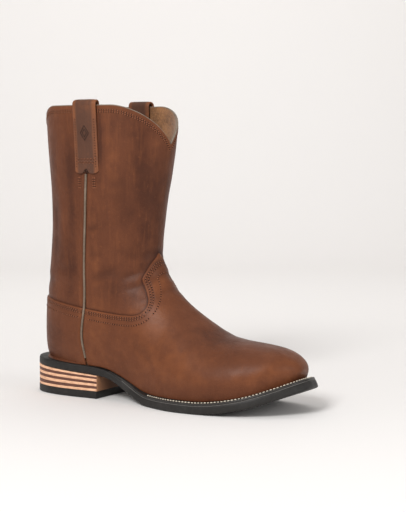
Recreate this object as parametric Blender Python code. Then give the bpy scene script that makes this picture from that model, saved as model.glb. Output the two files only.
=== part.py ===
"""Roper boot for the right foot, standing empty on its sole.

Sizes are in millimetres in the last maker's frame: x runs from the back of the outsole's heel
to its toe, y is negative on the outer (lateral) side and positive on the inner (medial) side,
and z is the height above the floor. MM turns them into metres, and the mesh is centred on x.
"""

import bpy
import bmesh
import numpy as np

MM = 0.001
GAP = 0.3                 # between pieces that touch in the real boot
LENGTH = 305.0            # outsole, heel to toe
OUTSOLE_THICK = 7.7
WAIST_THICK = 6.4         # the outsole is skived under the arch
WELT_THICK = 2.8
WELT_START = 100.0        # the welt's two ends, in the waist
WELT_TAPER = 26.0
WELT_END_THICK = 0.4
WELT_END_ROOM = 1.15
WELT_INSET = 0.6
WELT_UNDER_UPPER = 2.4
INSOLE_THICK = 3.0
INSOLE_CLEARANCE = 2.4    # the lining bulges inwards round the heel
WALL = 2.4                # leather and lining of the upper
OVERLAY_THICK = 1.3       # vamp and counter leather
BREAST_X = 88.0           # front face of the heel
CAP_THICK = 7.4
CORD_RADIUS = 1.25        # piping cord in the side seams
BINDING_RADIUS = 1.3
BINDING_LIFT = 0.5        # the cord rides over the steep parts of the scallop
SEAM_HALF_GAP = 1.9       # vamp and counter stop this far from the seam's middle
STRAP_WIDTH = 25.8
STRAP_THICK = 2.2
STRAP_X = 87.6
STRAP_FOOT_Z = 220.0
STRAP_INNER_FOOT_Z = 236.0
STRAP_LEAN = 0.6          # towards the back at the top
STRAP_RISE = 2.8          # top of the loop above the binding
COLLAR_Z = 284.0
FRONT_DIP = 37.0
FRONT_DIP_SPAN = 66.0     # degrees either side of the front that the scallop takes
BACK_DIP = 27.0
BACK_DIP_SPAN = 54.0
BAND_Z = 236.0            # from here up, the upper's sections are level
GRID_FOOT_ROWS = 24
GRID_LEG_ROWS = 8
GRID_BAND_ROWS = 4
GRID_ACROSS = 12
SECTION_COUNT_SOLE = 56
PIPING_FOOT_Z = 42.5
PIPING_CLEARANCE = 2.5    # below the strap
STACK_INSET = 0.2

# Outsole outline: share of the length, half widths, and the ledge outside the upper.
OUTLINE_COLUMNS = ("share", "lateral", "medial", "ledge")
OUTLINE = [
    (0.000, 0.0, 0.0, 11.6),
    (0.030, 21.5, 21.5, 9.5),
    (0.090, 31.0, 31.0, 6.0),
    (0.180, 34.5, 34.0, 4.5),
    (0.290, 34.0, 33.0, 4.0),
    (0.400, 35.0, 27.5, 4.0),
    (0.500, 45.0, 32.0, 7.0),
    (0.600, 54.5, 45.0, 8.5),
    (0.700, 55.0, 54.0, 8.0),
    (0.800, 51.5, 54.5, 8.0),
    (0.900, 40.5, 47.0, 8.5),
    (0.965, 24.5, 34.0, 9.0),
    (1.000, 0.0, 0.0, 9.5),
]

# Underside of the outsole: straight over the heel, arch, flat tread, toe spring.
BOTTOM_COLUMNS = ("x", "z")
BOTTOM = [
    (0.0, 28.0),
    (44.0, 25.4),
    (88.0, 22.8),
    (98.0, 21.6),
    (110.0, 17.0),
    (124.0, 9.8),
    (138.0, 4.0),
    (150.0, 0.8),
    (160.0, 0.0),
    (212.0, 0.0),
    (238.0, 3.0),
    (262.0, 8.3),
    (284.0, 15.8),
    (305.0, 24.6),
]

# Heel lifts from the floor up: thickness at the breast and at the back.
LIFTS = [
    ("tan_1", 2.5, 2.5),
    ("dark_1", 2.4, 3.3),
    ("tan_2", 2.5, 3.1),
    ("dark_2", 2.1, 3.0),
    ("tan_3", 2.7, 2.7),
    ("dark_3", 1.9, 3.0),
    ("tan_4", 0.9, 2.6),
]

# Sections of the foot, toe to heel. Each is a flat arch from the feather line, at this turn
# round the outline, up to a point of the front line.
FOOT_COLUMNS = ("front_x", "front_z", "turn", "lateral", "medial", "level", "front_power",
                "back_power")
FOOT = [
    (294.5, 38.0, 180.0, 0.5, 0.5, 0.30, 2.00, 2.00),
    (293.6, 42.0, 170.0, 8.0, 8.5, 0.30, 2.00, 2.00),
    (290.0, 47.5, 160.0, 17.0, 20.5, 0.30, 2.10, 2.00),
    (282.5, 53.0, 150.0, 25.5, 32.0, 0.30, 2.20, 2.00),
    (271.0, 57.6, 141.0, 33.5, 40.5, 0.28, 2.20, 2.00),
    (256.0, 60.2, 132.5, 41.5, 45.5, 0.26, 2.10, 2.00),
    (236.0, 62.4, 123.0, 47.0, 48.0, 0.26, 2.00, 2.00),
    (216.0, 66.4, 113.0, 49.5, 47.5, 0.27, 1.90, 2.00),
    (199.0, 75.5, 103.0, 48.0, 42.5, 0.30, 1.80, 2.00),
    (184.0, 85.0, 93.0, 44.0, 37.5, 0.34, 1.80, 2.00),
    (169.0, 95.5, 82.0, 39.0, 34.5, 0.40, 1.80, 2.05),
    (155.0, 107.5, 69.0, 36.5, 34.5, 0.48, 1.90, 2.15),
    (146.5, 119.0, 54.0, 36.0, 35.5, 0.52, 1.90, 2.30),
    (141.5, 129.0, 38.0, 36.5, 36.5, 0.53, 1.95, 2.40),
    (138.6, 138.5, 20.0, 37.0, 37.0, 0.53, 2.00, 2.40),
    (138.4, 151.0, 0.0, 37.6, 37.6, 0.53, 2.00, 2.40),
]

# Sections of the leg, heel to collar: closed ovals from the back line to the front line.
LEG_COLUMNS = ("front_x", "front_z", "back_x", "back_z", "lateral", "medial", "level",
               "front_power", "back_power")
LEG = [
    (139.4, 161.5, 9.4, 52.0, 38.0, 38.0, 0.53, 2.00, 2.40),
    (140.8, 172.0, 9.0, 68.0, 39.0, 39.0, 0.52, 2.00, 2.35),
    (142.4, 182.5, 11.5, 90.0, 40.0, 40.0, 0.52, 2.00, 2.25),
    (144.0, 193.5, 15.0, 115.0, 41.5, 41.5, 0.51, 2.00, 2.15),
    (146.0, 206.0, 17.4, 145.0, 43.0, 43.0, 0.50, 2.00, 2.05),
    (148.2, 218.0, 18.0, 180.0, 45.0, 45.0, 0.50, 2.00, 2.00),
    (149.8, 227.5, 17.0, 212.0, 46.3, 46.3, 0.50, 2.00, 2.00),
    (151.4, BAND_Z, 15.2, BAND_Z, 47.0, 47.0, 0.50, 2.00, 2.00),
    (154.4, 262.0, 13.4, 262.0, 48.0, 48.0, 0.50, 2.00, 2.00),
    (157.4, 290.0, 11.6, 290.0, 48.8, 48.8, 0.50, 2.00, 2.00),
]

# Top edge of the counter and vamp seen from the side, back of the heel to the tongue's tip.
VAMP_LINE_COLUMNS = ("x", "z")
VAMP_LINE = [
    (-5.0, 99.0),
    (24.0, 96.0),
    (51.0, 92.0),
    (79.0, 88.0),
    (102.0, 85.5),
    (124.0, 84.2),
    (133.5, 84.6),
    (140.0, 87.5),
    (143.0, 92.0),
    (143.2, 97.0),
    (140.5, 104.0),
    (136.8, 111.0),
    (133.4, 118.0),
    (135.2, 126.0),
    (136.8, 131.5),
    (138.8, 138.0),
    (139.2, 143.5),
    (142.4, 149.5),
    (151.0, 156.0),
]

# Side seam seen from the side, sole to strap.
SEAM_COLUMNS = ("z", "x")
SEAM = [
    (20.0, 76.0),
    (42.0, 74.0),
    (58.0, 72.0),
    (90.0, 76.3),
    (130.0, 78.2),
    (180.0, 82.6),
    (260.0, 90.0),
]


def curve(xs, ys, x):
    """Smooth curve through the points (xs, ys), one cubic between each two."""
    xs = np.asarray(xs, float)
    ys = np.asarray(ys, float)
    x = np.clip(np.asarray(x, float), xs[0], xs[-1])
    step = np.diff(xs)
    rise = np.diff(ys) / step
    slope = np.empty(len(xs))
    slope[1:-1] = (step[1:] * rise[:-1] + step[:-1] * rise[1:]) / (step[1:] + step[:-1])
    slope[0] = 1.5 * rise[0] - 0.5 * slope[1]
    slope[-1] = 1.5 * rise[-1] - 0.5 * slope[-2]
    i = np.clip(np.searchsorted(xs, x, side="right") - 1, 0, len(step) - 1)
    t = (x - xs[i]) / step[i]
    start = (2 * t**3 - 3 * t**2 + 1) * ys[i] + (t**3 - 2 * t**2 + t) * slope[i] * step[i]
    end = (3 * t**2 - 2 * t**3) * ys[i + 1] + (t**3 - t**2) * slope[i + 1] * step[i]
    return start + end


def column(table, names, name):
    return np.array([row[names.index(name)] for row in table], float)


def smoothstep(low, high, x):
    t = np.clip((np.asarray(x, float) - low) / (high - low), 0, 1)
    return t * t * (3 - 2 * t)


# Sole outline and heights

STATION_TURN = np.arccos(1 - 2 * column(OUTLINE, OUTLINE_COLUMNS, "share"))
RING_TURN = np.concatenate([STATION_TURN, 2 * np.pi - STATION_TURN[-2::-1]])
RING_WIDTH = np.concatenate([-column(OUTLINE, OUTLINE_COLUMNS, "lateral"),
                             column(OUTLINE, OUTLINE_COLUMNS, "medial")[-2::-1]])


def outline(turn, inset=0.0):
    """Point of the outsole's edge: turn 0 is the heel, pi the toe, and pi to 2 pi medial."""
    turn = np.asarray(turn, float)
    turns = np.concatenate([RING_TURN[:-1] - 2 * np.pi, RING_TURN, RING_TURN[1:] + 2 * np.pi])
    widths = np.concatenate([RING_WIDTH[:-1], RING_WIDTH, RING_WIDTH[1:]])
    ahead = turn + 0.001
    behind = turn - 0.001
    along_x = LENGTH / 2 * (np.cos(behind) - np.cos(ahead))
    along_y = curve(turns, widths, ahead) - curve(turns, widths, behind)
    size = np.hypot(along_x, along_y)
    x = LENGTH / 2 * (1 - np.cos(turn)) - along_y / size * inset
    y = curve(turns, widths, turn) + along_x / size * inset
    return x, y


def ledge(turn):
    folded = np.minimum(turn, 2 * np.pi - turn)
    return curve(STATION_TURN, column(OUTLINE, OUTLINE_COLUMNS, "ledge"), folded)


def bottom(x):
    height = curve(column(BOTTOM, BOTTOM_COLUMNS, "x"), column(BOTTOM, BOTTOM_COLUMNS, "z"), x)
    return np.maximum(height, 0.0)


def sole_slope(x):
    return (bottom(x + 1) - bottom(x - 1)) / 2


def outsole_thick(x):
    waist = smoothstep(85, 110, x) * (1 - smoothstep(125, 160, x))
    return OUTSOLE_THICK + (WAIST_THICK - OUTSOLE_THICK) * waist


def above_sole(x, y, height):
    """Points this high above the outsole's underside, square to it."""
    slope = sole_slope(x)
    size = np.hypot(1, slope)
    return np.stack([x - slope / size * height, y + 0 * x, bottom(x) + height / size], -1)


def welt_rise(x):
    """Room that the welt takes under the upper's edge, with a little more at its thin ends and
    where it turns round the toe."""
    start = WELT_END_ROOM * smoothstep(WELT_START - 26, WELT_START - 8, x)
    full = GAP + WELT_THICK - WELT_END_ROOM
    toe = GAP * smoothstep(LENGTH - 32, LENGTH - 14, x)
    return start + toe + full * smoothstep(WELT_START - 4, WELT_START + WELT_TAPER, x)


def feather_line(turn):
    """Line where the upper meets the welt and, at the heel, the outsole."""
    x, y = outline(turn, ledge(turn))
    return above_sole(x, y, outsole_thick(x) + GAP + welt_rise(x))


# Surface of the upper

FRONT_X = np.concatenate([column(FOOT, FOOT_COLUMNS, "front_x"), column(LEG, LEG_COLUMNS, "front_x")])
FRONT_Z = np.concatenate([column(FOOT, FOOT_COLUMNS, "front_z"), column(LEG, LEG_COLUMNS, "front_z")])
STATION = np.concatenate([[0], np.cumsum(np.hypot(np.diff(FRONT_X), np.diff(FRONT_Z)))])
HEEL_STATION = STATION[len(FOOT) - 1]
BAND_STATION = STATION[len(FOOT) + 7]
BAND_TOP_Z = column(LEG, LEG_COLUMNS, "front_z")[-1]


def by_station(name, station):
    """A column that both tables have, at this distance along the front line."""
    foot = column(FOOT, FOOT_COLUMNS, name)
    leg = column(LEG, LEG_COLUMNS, name)
    return curve(STATION, np.concatenate([foot, leg]), station)


def section_turn(station):
    """Turn round the outline at which a foot section ends."""
    turns = column(FOOT, FOOT_COLUMNS, "turn")
    return np.clip(curve(STATION[:len(FOOT)], turns, np.minimum(station, HEEL_STATION)), 0, 180)


def station_of_turn(turn):
    fine = np.linspace(0, HEEL_STATION, 600)
    return np.interp(-np.asarray(turn), -section_turn(fine), fine)


def section_end(station, side):
    """Lower end of a section: on the feather line in the foot, on the back line in the leg."""
    turn = np.radians(section_turn(station))
    end = feather_line(np.where(side < 0, turn, 2 * np.pi - turn))
    rear = feather_line(np.array([0.0]))[0]
    stations = STATION[len(FOOT) - 1:]
    back_x = curve(stations, np.append(rear[0], column(LEG, LEG_COLUMNS, "back_x")), station)
    back_z = curve(stations, np.append(rear[2], column(LEG, LEG_COLUMNS, "back_z")), station)
    leg = station > HEEL_STATION
    end[..., 0] = np.where(leg, back_x, end[..., 0])
    end[..., 1] = np.where(leg, 0.0, end[..., 1])
    end[..., 2] = np.where(leg, back_z, end[..., 2])
    return end


def upper_surface(station, side, share):
    """Point of the upper's outer face. share runs from the section's lower end to its front."""
    station, side, share = np.broadcast_arrays(station, side, share)
    end = section_end(station, side)
    front_x = by_station("front_x", station)
    front_z = by_station("front_z", station)
    width = np.where(side < 0, by_station("lateral", station), by_station("medial", station))
    width = np.maximum(width, np.abs(end[..., 1]) * 1.01 + 0.05)
    level = by_station("level", station)
    front = 2 / by_station("front_power", station)
    back = 2 / by_station("back_power", station)
    start = np.arcsin((np.abs(end[..., 1]) / width) ** (1 / back))
    angle = start + (np.pi - start) * share
    sine = np.maximum(np.sin(angle), 0)
    cosine = np.abs(np.cos(angle))
    behind = angle < np.pi / 2
    low = level * (1 - (cosine / np.cos(start)) ** back)
    high = level + (1 - level) * cosine ** front
    up = np.where(behind, low, high)
    out = width * sine ** np.where(behind, back, front)
    x = end[..., 0] + (front_x - end[..., 0]) * up
    z = end[..., 2] + (front_z - end[..., 2]) * up
    return np.stack([x, side * out, z], -1)


def topline(share):
    """Height of the collar: peaks at the straps, a scallop in front and a shallower one behind."""
    from_front = 180 * (1 - share)
    front = np.clip(1 - from_front / FRONT_DIP_SPAN, 0, 1)
    back = np.clip(1 - (180 - from_front) / BACK_DIP_SPAN, 0, 1)
    return COLLAR_Z - FRONT_DIP * front**1.6 - BACK_DIP * back**1.6


def collar_station(share):
    """Distance along the front line at which a level section has the topline's height."""
    climb = (topline(share) - BAND_Z) / (BAND_TOP_Z - BAND_Z)
    return BAND_STATION + climb * (STATION[-1] - BAND_STATION)


def surface_at(x, z, side):
    """Station and share of the surface point that is seen from the side at (x, z)."""
    stations, shares = np.meshgrid(np.linspace(2, STATION[-1], 160), np.linspace(0.02, 0.98, 60))
    seen = upper_surface(stations, side, shares)[..., [0, 2]].reshape(-1, 2)
    stations = stations.ravel()
    shares = shares.ravel()
    targets = np.stack([np.atleast_1d(x), np.atleast_1d(z)], -1).astype(float)
    found = []
    for target in targets:
        near = np.argmin(((seen - target)**2).sum(1))
        guess = np.array([stations[near], shares[near]])
        for _ in range(12):
            here = upper_surface(guess[0], side, guess[1])[[0, 2]]
            by_s = (upper_surface(guess[0] + 0.01, side, guess[1])[[0, 2]] - here) / 0.01
            by_v = (upper_surface(guess[0], side, guess[1] + 1e-4)[[0, 2]] - here) / 1e-4
            step = np.linalg.solve(np.stack([by_s, by_v], 1), target - here)
            guess = guess + np.clip(step, [-8, -0.08], [8, 0.08])
            guess = np.clip(guess, [0.5, 0.001], [STATION[-1], 0.999])
        found.append(guess)
    return np.array(found)


def outward(station, side, share):
    """Unit normal of the upper's surface."""
    station, side, share = np.broadcast_arrays(station, side, share)
    share = np.clip(share, 0.002, 0.998)
    by_s = upper_surface(station + 0.05, side, share) - upper_surface(station - 0.05, side, share)
    by_v = upper_surface(station, side, share + 1e-3) - upper_surface(station, side, share - 1e-3)
    normal = np.cross(by_s, by_v) * side[..., None]
    return normal / np.maximum(np.linalg.norm(normal, axis=-1, keepdims=True), 1e-9)


# Meshes and materials

def material(name, colour, roughness, metallic=0.0):
    mat = bpy.data.materials.new(name)
    mat.use_nodes = True
    shader = mat.node_tree.nodes["Principled BSDF"]
    shader.inputs["Base Color"].default_value = (*colour, 1)
    shader.inputs["Roughness"].default_value = roughness
    shader.inputs["Metallic"].default_value = metallic
    return mat


def add_object(name, points, faces, finish, smooth_angle=40):
    """Mesh object from points in millimetres and index faces, normals outward."""
    metres = (np.asarray(points, float) - [LENGTH / 2, 0, 0]) * MM
    mesh = bpy.data.meshes.new(name)
    mesh.from_pydata([tuple(p) for p in metres], [], [tuple(int(i) for i in f) for f in faces])
    work = bmesh.new()
    work.from_mesh(mesh)
    bmesh.ops.recalc_face_normals(work, faces=work.faces)
    if work.calc_volume(signed=True) < 0:
        bmesh.ops.reverse_faces(work, faces=work.faces)
    work.to_mesh(mesh)
    work.free()
    mesh.shade_smooth()
    mesh.set_sharp_from_angle(angle=np.radians(smooth_angle))
    mesh.materials.append(finish)
    obj = bpy.data.objects.new(name, mesh)
    bpy.context.collection.objects.link(obj)
    return obj


def strip_faces(rows, across, ring=False):
    """Quads of a grid stored row by row. ring joins each row's last point to its first."""
    faces = []
    for r in range(rows - 1):
        for c in range(across if ring else across - 1):
            d = (c + 1) % across
            faces.append((r * across + c, r * across + d, (r + 1) * across + d, (r + 1) * across + c))
    return faces


def tube(name, path, radius, finish, sides=7, closed=False):
    """Round cord along a path of points, its ends closed."""
    path = np.asarray(path, float)
    if closed:
        along = np.roll(path, -1, 0) - np.roll(path, 1, 0)
    else:
        along = np.gradient(path, axis=0)
    along = along / np.linalg.norm(along, axis=1, keepdims=True)
    ref = np.array([0.0, 0.0, 1.0]) if closed else np.array([1.0, 0.0, 0.0])
    first = np.cross(along, ref)
    first = first / np.linalg.norm(first, axis=1, keepdims=True)
    second = np.cross(along, first)
    angles = 2 * np.pi * np.arange(sides) / sides
    rings = [path + radius * (np.cos(a) * first + np.sin(a) * second) for a in angles]
    points = np.stack(rings, 1).reshape(-1, 3)
    faces = strip_faces(len(path), sides, ring=True)
    last = (len(path) - 1) * sides
    if closed:
        for c in range(sides):
            d = (c + 1) % sides
            faces.append((last + c, last + d, d, c))
    else:
        faces.append(tuple(range(sides)))
        faces.append(tuple(last + c for c in range(sides)))
    return add_object(name, points, faces, finish, 60)


# Sole

def plate(name, turns, inset, low, high, finish):
    """Flat-lying plate: its edge follows the outline, and low and high give its heights at x."""
    lateral = [outline(t, inset(t)) for t in turns]
    medial = [outline(2 * np.pi - t, inset(t)) for t in turns]
    rows = []
    for (lx, ly), (mx, my) in zip(lateral, medial):
        under = above_sole(np.array([lx, mx]), np.array([ly, my]), low(np.array([lx, mx])))
        over = above_sole(np.array([lx, mx]), np.array([ly, my]), high(np.array([lx, mx])))
        rows.append([under[0], over[0], over[1], under[1]])
    points = np.array(rows).reshape(-1, 3)
    faces = strip_faces(len(rows), 4, ring=True)
    faces.append((0, 1, 2, 3))
    last = 4 * (len(rows) - 1)
    faces.append((last, last + 1, last + 2, last + 3))
    return add_object(name, points, faces, finish, 35)


def build_outsole(finish):
    """Full-length outsole with its arch, flat tread and toe spring."""
    turns = np.linspace(0.04, np.pi - 0.035, SECTION_COUNT_SOLE)
    return plate("outsole", turns, lambda t: 0.0, lambda x: 0 * x, outsole_thick, finish)


def build_insole(finish):
    turns = np.linspace(0.16, np.pi - 0.14, 50)
    floor = 1.5 * GAP
    return plate("insole", turns, lambda t: ledge(t) + WALL + INSOLE_CLEARANCE,
                 lambda x: outsole_thick(x) + floor,
                 lambda x: outsole_thick(x) + floor + INSOLE_THICK, finish)


def build_welt(finish):
    """Strip under the upper's edge, from the waist round the toe to the waist."""
    start = np.arccos(1 - 2 * WELT_START / LENGTH)
    turns = np.linspace(start, 2 * np.pi - start, 68)
    rows = []
    for t in turns:
        outer_x, outer_y = outline(t, WELT_INSET)
        inner_x, inner_y = outline(t, ledge(t) + WELT_UNDER_UPPER)
        x = np.array([outer_x, inner_x])
        y = np.array([outer_y, inner_y])
        thick = np.clip(welt_rise(x) - 2 * GAP, WELT_END_THICK, WELT_THICK)
        under = above_sole(x, y, outsole_thick(x) + GAP)
        over = above_sole(x, y, outsole_thick(x) + GAP + thick)
        rows.append([under[0], over[0], over[1], under[1]])
    points = np.array(rows).reshape(-1, 3)
    faces = strip_faces(len(rows), 4, ring=True)
    last = 4 * (len(rows) - 1)
    faces.append((0, 1, 2, 3))
    faces.append((last, last + 1, last + 2, last + 3))
    return add_object("welt", points, faces, finish, 35)


def heel_block(name, low_front, low_back, high_front, high_back, finish):
    """One layer of the heel between two planes, with the outsole's outline and a flat breast."""
    end = np.arccos(1 - 2 * BREAST_X / LENGTH)
    turns = np.linspace(0.05, end, 13)
    ring = [outline(t, STACK_INSET) for t in turns]
    ring += [outline(2 * np.pi - t, STACK_INSET) for t in turns[::-1]]
    ring = np.array([(min(float(x), BREAST_X), float(y)) for x, y in ring])
    share = ring[:, 0] / BREAST_X
    low = low_back + (low_front - low_back) * share
    high = high_back + (high_front - high_back) * share
    points = np.concatenate([np.column_stack([ring, low]), np.column_stack([ring, high])])
    count = len(ring)
    faces = strip_faces(2, count, ring=True)
    faces.append(tuple(range(count)))
    faces.append(tuple(count + i for i in range(count)))
    return add_object(name, points, faces, finish, 35)


def build_heel(tan, dark, rubber):
    heel_block("heel_cap", 0.0, 0.0, CAP_THICK, CAP_THICK, rubber)
    front = CAP_THICK
    back = CAP_THICK
    for name, at_front, at_back in LIFTS:
        finish = tan if name.startswith("tan") else dark
        heel_block("heel_lift_" + name, front + GAP, back + GAP, front + at_front, back + at_back, finish)
        front += at_front
        back += at_back


# Upper

def upper_grid(rows_foot, rows_leg, rows_band, across):
    """Points of the upper's outer face. Rows run toe to collar, columns lateral edge to front
    to medial edge. Behind the heel row the two edges meet on the back line."""
    ease = np.linspace(0.12, 1, 7)
    toe = 0.8 + (STATION[4] - 0.8) * ease**1.7
    foot = station_of_turn(np.linspace(FOOT[4][2], 0, rows_foot))[1:]
    foot[-1] = HEEL_STATION
    leg = np.linspace(HEEL_STATION, BAND_STATION, rows_leg)[1:]
    shares = np.linspace(0, 1, across + 1)
    grid = [full_section(np.full(across + 1, s), shares) for s in np.concatenate([toe, foot, leg])]
    for climb in np.linspace(0, 1, rows_band + 1)[1:]:
        stations = BAND_STATION + climb * (collar_station(shares) - BAND_STATION)
        grid.append(full_section(stations, shares))
    heel_row = len(toe) + len(foot) - 1
    return even_rows(np.array(grid), heel_row - 9, heel_row + 4), heel_row


def even_rows(grid, first, last):
    """Evens out the spacing of the rows that fan round the heel. The outer columns stay."""
    grid = grid.copy()
    for _ in range(10):
        mean = (grid[first - 1:last - 1, 1:-1] + grid[first + 1:last + 1, 1:-1]) / 2
        grid[first:last, 1:-1] = (grid[first:last, 1:-1] + mean) / 2
    return grid


def full_section(stations, shares):
    lateral = upper_surface(stations, -1.0, shares)
    medial = upper_surface(stations, 1.0, shares)
    return np.concatenate([lateral, medial[-2::-1]])


def weld(points, faces, tolerance=0.02):
    """Joins points that coincide and drops the faces that collapse. Also gives each old point's
    new place."""
    keys = {}
    index = np.empty(len(points), int)
    kept = []
    for i, p in enumerate(points):
        key = tuple(np.round(np.asarray(p) / tolerance).astype(int))
        if key not in keys:
            keys[key] = len(kept)
            kept.append(p)
        index[i] = keys[key]
    clean = []
    for face in faces:
        ring = []
        for i in face:
            j = int(index[i])
            if not ring or ring[-1] != j:
                ring.append(j)
        if len(ring) > 1 and ring[0] == ring[-1]:
            ring.pop()
        if len(ring) > 2:
            clean.append(tuple(ring))
    return np.array(kept), clean, index


def vertex_normals(points, faces):
    normals = np.zeros_like(points)
    for face in faces:
        corners = points[list(face)]
        normal = np.zeros(3)
        for k in range(1, len(face) - 1):
            normal += np.cross(corners[k] - corners[0], corners[k + 1] - corners[0])
        for i in face:
            normals[i] += normal
    return normals / np.linalg.norm(normals, axis=1, keepdims=True)


def keep_side(points, normals, faces, field):
    """The part of a patch where field is positive, cut straight through its faces."""
    points = list(points)
    normals = list(normals)
    field = list(field)
    made = {}

    def crossing(a, b):
        key = (min(a, b), max(a, b))
        if key not in made:
            t = np.clip(field[a] / (field[a] - field[b]), 0.03, 0.97)
            points.append(points[a] + t * (points[b] - points[a]))
            normals.append(normals[a] + t * (normals[b] - normals[a]))
            made[key] = len(points) - 1
        return made[key]

    kept = []
    for face in faces:
        ring = []
        for k, a in enumerate(face):
            b = face[(k + 1) % len(face)]
            if field[a] > 0:
                ring.append(a)
            if (field[a] > 0) != (field[b] > 0):
                ring.append(crossing(a, b))
        if len(ring) > 2:
            kept.append(tuple(ring))
    return np.array(points), np.array(normals), kept


def shell(name, points, normals, faces, low, high, finish, smooth_angle=50):
    """Closed wall between two offsets of a patch, with a rim along its open edges."""
    used = sorted({i for face in faces for i in face})
    place = {i: k for k, i in enumerate(used)}
    base = np.asarray(points)[used]
    lift = np.asarray(normals)[used]
    count = len(used)
    both = np.concatenate([base + lift * high, base + lift * low])
    solid = []
    edges = {}
    for face in faces:
        ring = tuple(place[i] for i in face)
        solid.append(ring)
        solid.append(tuple(count + i for i in reversed(ring)))
        for k, a in enumerate(ring):
            b = ring[(k + 1) % len(ring)]
            if (b, a) in edges:
                del edges[(b, a)]
            else:
                edges[(a, b)] = True
    for a, b in edges:
        solid.append((b, a, count + a, count + b))
    return add_object(name, both, solid, finish, smooth_angle)


def upper_patch(rows_foot, rows_leg, rows_band, across):
    """The upper's outer face as one welded patch with its normals, closed at the toe point."""
    grid, heel_row = upper_grid(rows_foot, rows_leg, rows_band, across)
    rows, width = grid.shape[:2]
    tip = feather_line(np.array([np.pi]))
    faces = strip_faces(rows, width)
    faces += [(c + 1, c, rows * width) for c in range(width - 1)]
    points, faces, index = weld(np.concatenate([grid.reshape(-1, 3), tip]), faces)
    faces = [(f[0], f[k], f[k + 1]) for f in faces for k in range(1, len(f) - 1)]
    normals = vertex_normals(points, faces)
    edge = [rows * width]
    for r in range(heel_row + 1):
        edge += [r * width, r * width + width - 1]
    for i in index[edge]:
        normals[i, 2] = normals[i, 0] * sole_slope(points[i, 0])
    return points, normals / np.linalg.norm(normals, axis=1, keepdims=True), faces


def vamp_polygon():
    """Closed side view of everything that the vamp and counter cover, tongue included."""
    x = column(VAMP_LINE, VAMP_LINE_COLUMNS, "x")
    z = column(VAMP_LINE, VAMP_LINE_COLUMNS, "z")
    turn = np.concatenate([[0], np.cumsum(np.hypot(np.diff(x), np.diff(z)))])
    fine = np.linspace(0, turn[-1], 160)
    smooth = np.column_stack([curve(turn, x, fine), curve(turn, z, fine)])
    return np.concatenate([smooth, [(330, 158), (330, -20), (-5, -20)]])


def signed_distance(points, polygon):
    """Distance to the polygon seen from the side, positive inside it."""
    seen = np.asarray(points)[:, [0, 2]]
    inside = np.zeros(len(seen), bool)
    least = np.full(len(seen), 1e9)
    for a, b in zip(polygon, np.roll(polygon, -1, 0)):
        edge = b - a
        t = np.clip(((seen - a) @ edge) / max(edge @ edge, 1e-9), 0, 1)
        away = np.linalg.norm(seen - (a + t[:, None] * edge), axis=1)
        least = np.minimum(least, away)
        crosses = (a[1] > seen[:, 1]) != (b[1] > seen[:, 1])
        if crosses.any():
            at = a[0] + (seen[:, 1] - a[1]) / (b[1] - a[1] + 1e-12) * edge[0]
            inside ^= crosses & (seen[:, 0] < at)
    return np.where(inside, least, -least)


def seam_x(z):
    return curve(column(SEAM, SEAM_COLUMNS, "z"), column(SEAM, SEAM_COLUMNS, "x"), z)


def build_upper(leather, overlay):
    points, normals, faces = upper_patch(GRID_FOOT_ROWS, GRID_LEG_ROWS, GRID_BAND_ROWS, GRID_ACROSS)
    shell("upper", points, normals, faces, -WALL, 0.0, leather)
    cover = signed_distance(points, vamp_polygon())
    low = GAP
    high = GAP + OVERLAY_THICK
    part_points, part_normals, part = keep_side(points, normals, faces, cover)
    ahead = part_points[:, 0] - seam_x(part_points[:, 2])
    front = keep_side(part_points, part_normals, part, ahead - SEAM_HALF_GAP)
    back = keep_side(part_points, part_normals, part, -ahead - SEAM_HALF_GAP)
    shell("vamp", *front, low, high, overlay)
    shell("counter", *back, low, high, overlay)


def build_piping(cord):
    """Cord in each side seam, from the sole's edge up to the pull strap."""
    for side, name in ((-1.0, "side_piping_lateral"), (1.0, "side_piping_medial")):
        height = np.linspace(PIPING_FOOT_Z, STRAP_FOOT_Z - PIPING_CLEARANCE, 20)
        found = surface_at(seam_x(height), height, side)
        on_wall = upper_surface(found[:, 0], side, found[:, 1])
        lift = outward(found[:, 0], side, found[:, 1])
        path = on_wall + lift * (GAP * 1.5 + CORD_RADIUS)
        tube(name, path, CORD_RADIUS, cord, sides=6)


def build_binding(cord):
    """Bound edge of the collar, a cord all the way round the topline."""
    shares = np.linspace(0, 1, 33)
    lateral = upper_surface(collar_station(shares), -1.0, shares)
    lift_lateral = outward(collar_station(shares), -1.0, shares)
    ring = np.concatenate([lateral, (lateral * [1, -1, 1])[-2:0:-1]])
    lift = np.concatenate([lift_lateral, (lift_lateral * [1, -1, 1])[-2:0:-1]])
    lift[0] = [-1, 0, 0]
    lift[32] = [1, 0, 0]
    level = lift * [1, 1, 0]
    level = level / np.linalg.norm(level, axis=1, keepdims=True)
    path = ring - level * WALL / 2 + [0, 0, GAP + BINDING_RADIUS + BINDING_LIFT]
    tube("collar_binding", path, BINDING_RADIUS, cord, sides=6, closed=True)


def strap_profile():
    """Middle line of the strap from its outer foot, over the collar, to its inner foot: height
    and how far it stands outside the wall's outer face."""
    top = COLLAR_Z + GAP * 2 + 2 * BINDING_RADIUS + STRAP_RISE
    out = GAP + STRAP_THICK / 2
    inn = -WALL - GAP - STRAP_THICK / 2 - 0.2
    middle = (out + inn) / 2
    radius = (out - inn) / 2 + 1.3
    crown = top - radius - STRAP_THICK / 2
    legs_out = [(STRAP_FOOT_Z, out), (244.0, out), (262.0, out + 0.3), (276.0, out + 0.9)]
    arch = [(crown + radius * np.sin(a), middle + radius * np.cos(a)) for a in np.linspace(0, np.pi, 9)]
    legs_in = [(276.0, inn - 0.9), (262.0, inn - 0.3), (248.0, inn), (STRAP_INNER_FOOT_Z, inn)]
    return np.array(legs_out + arch + legs_in)


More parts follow.
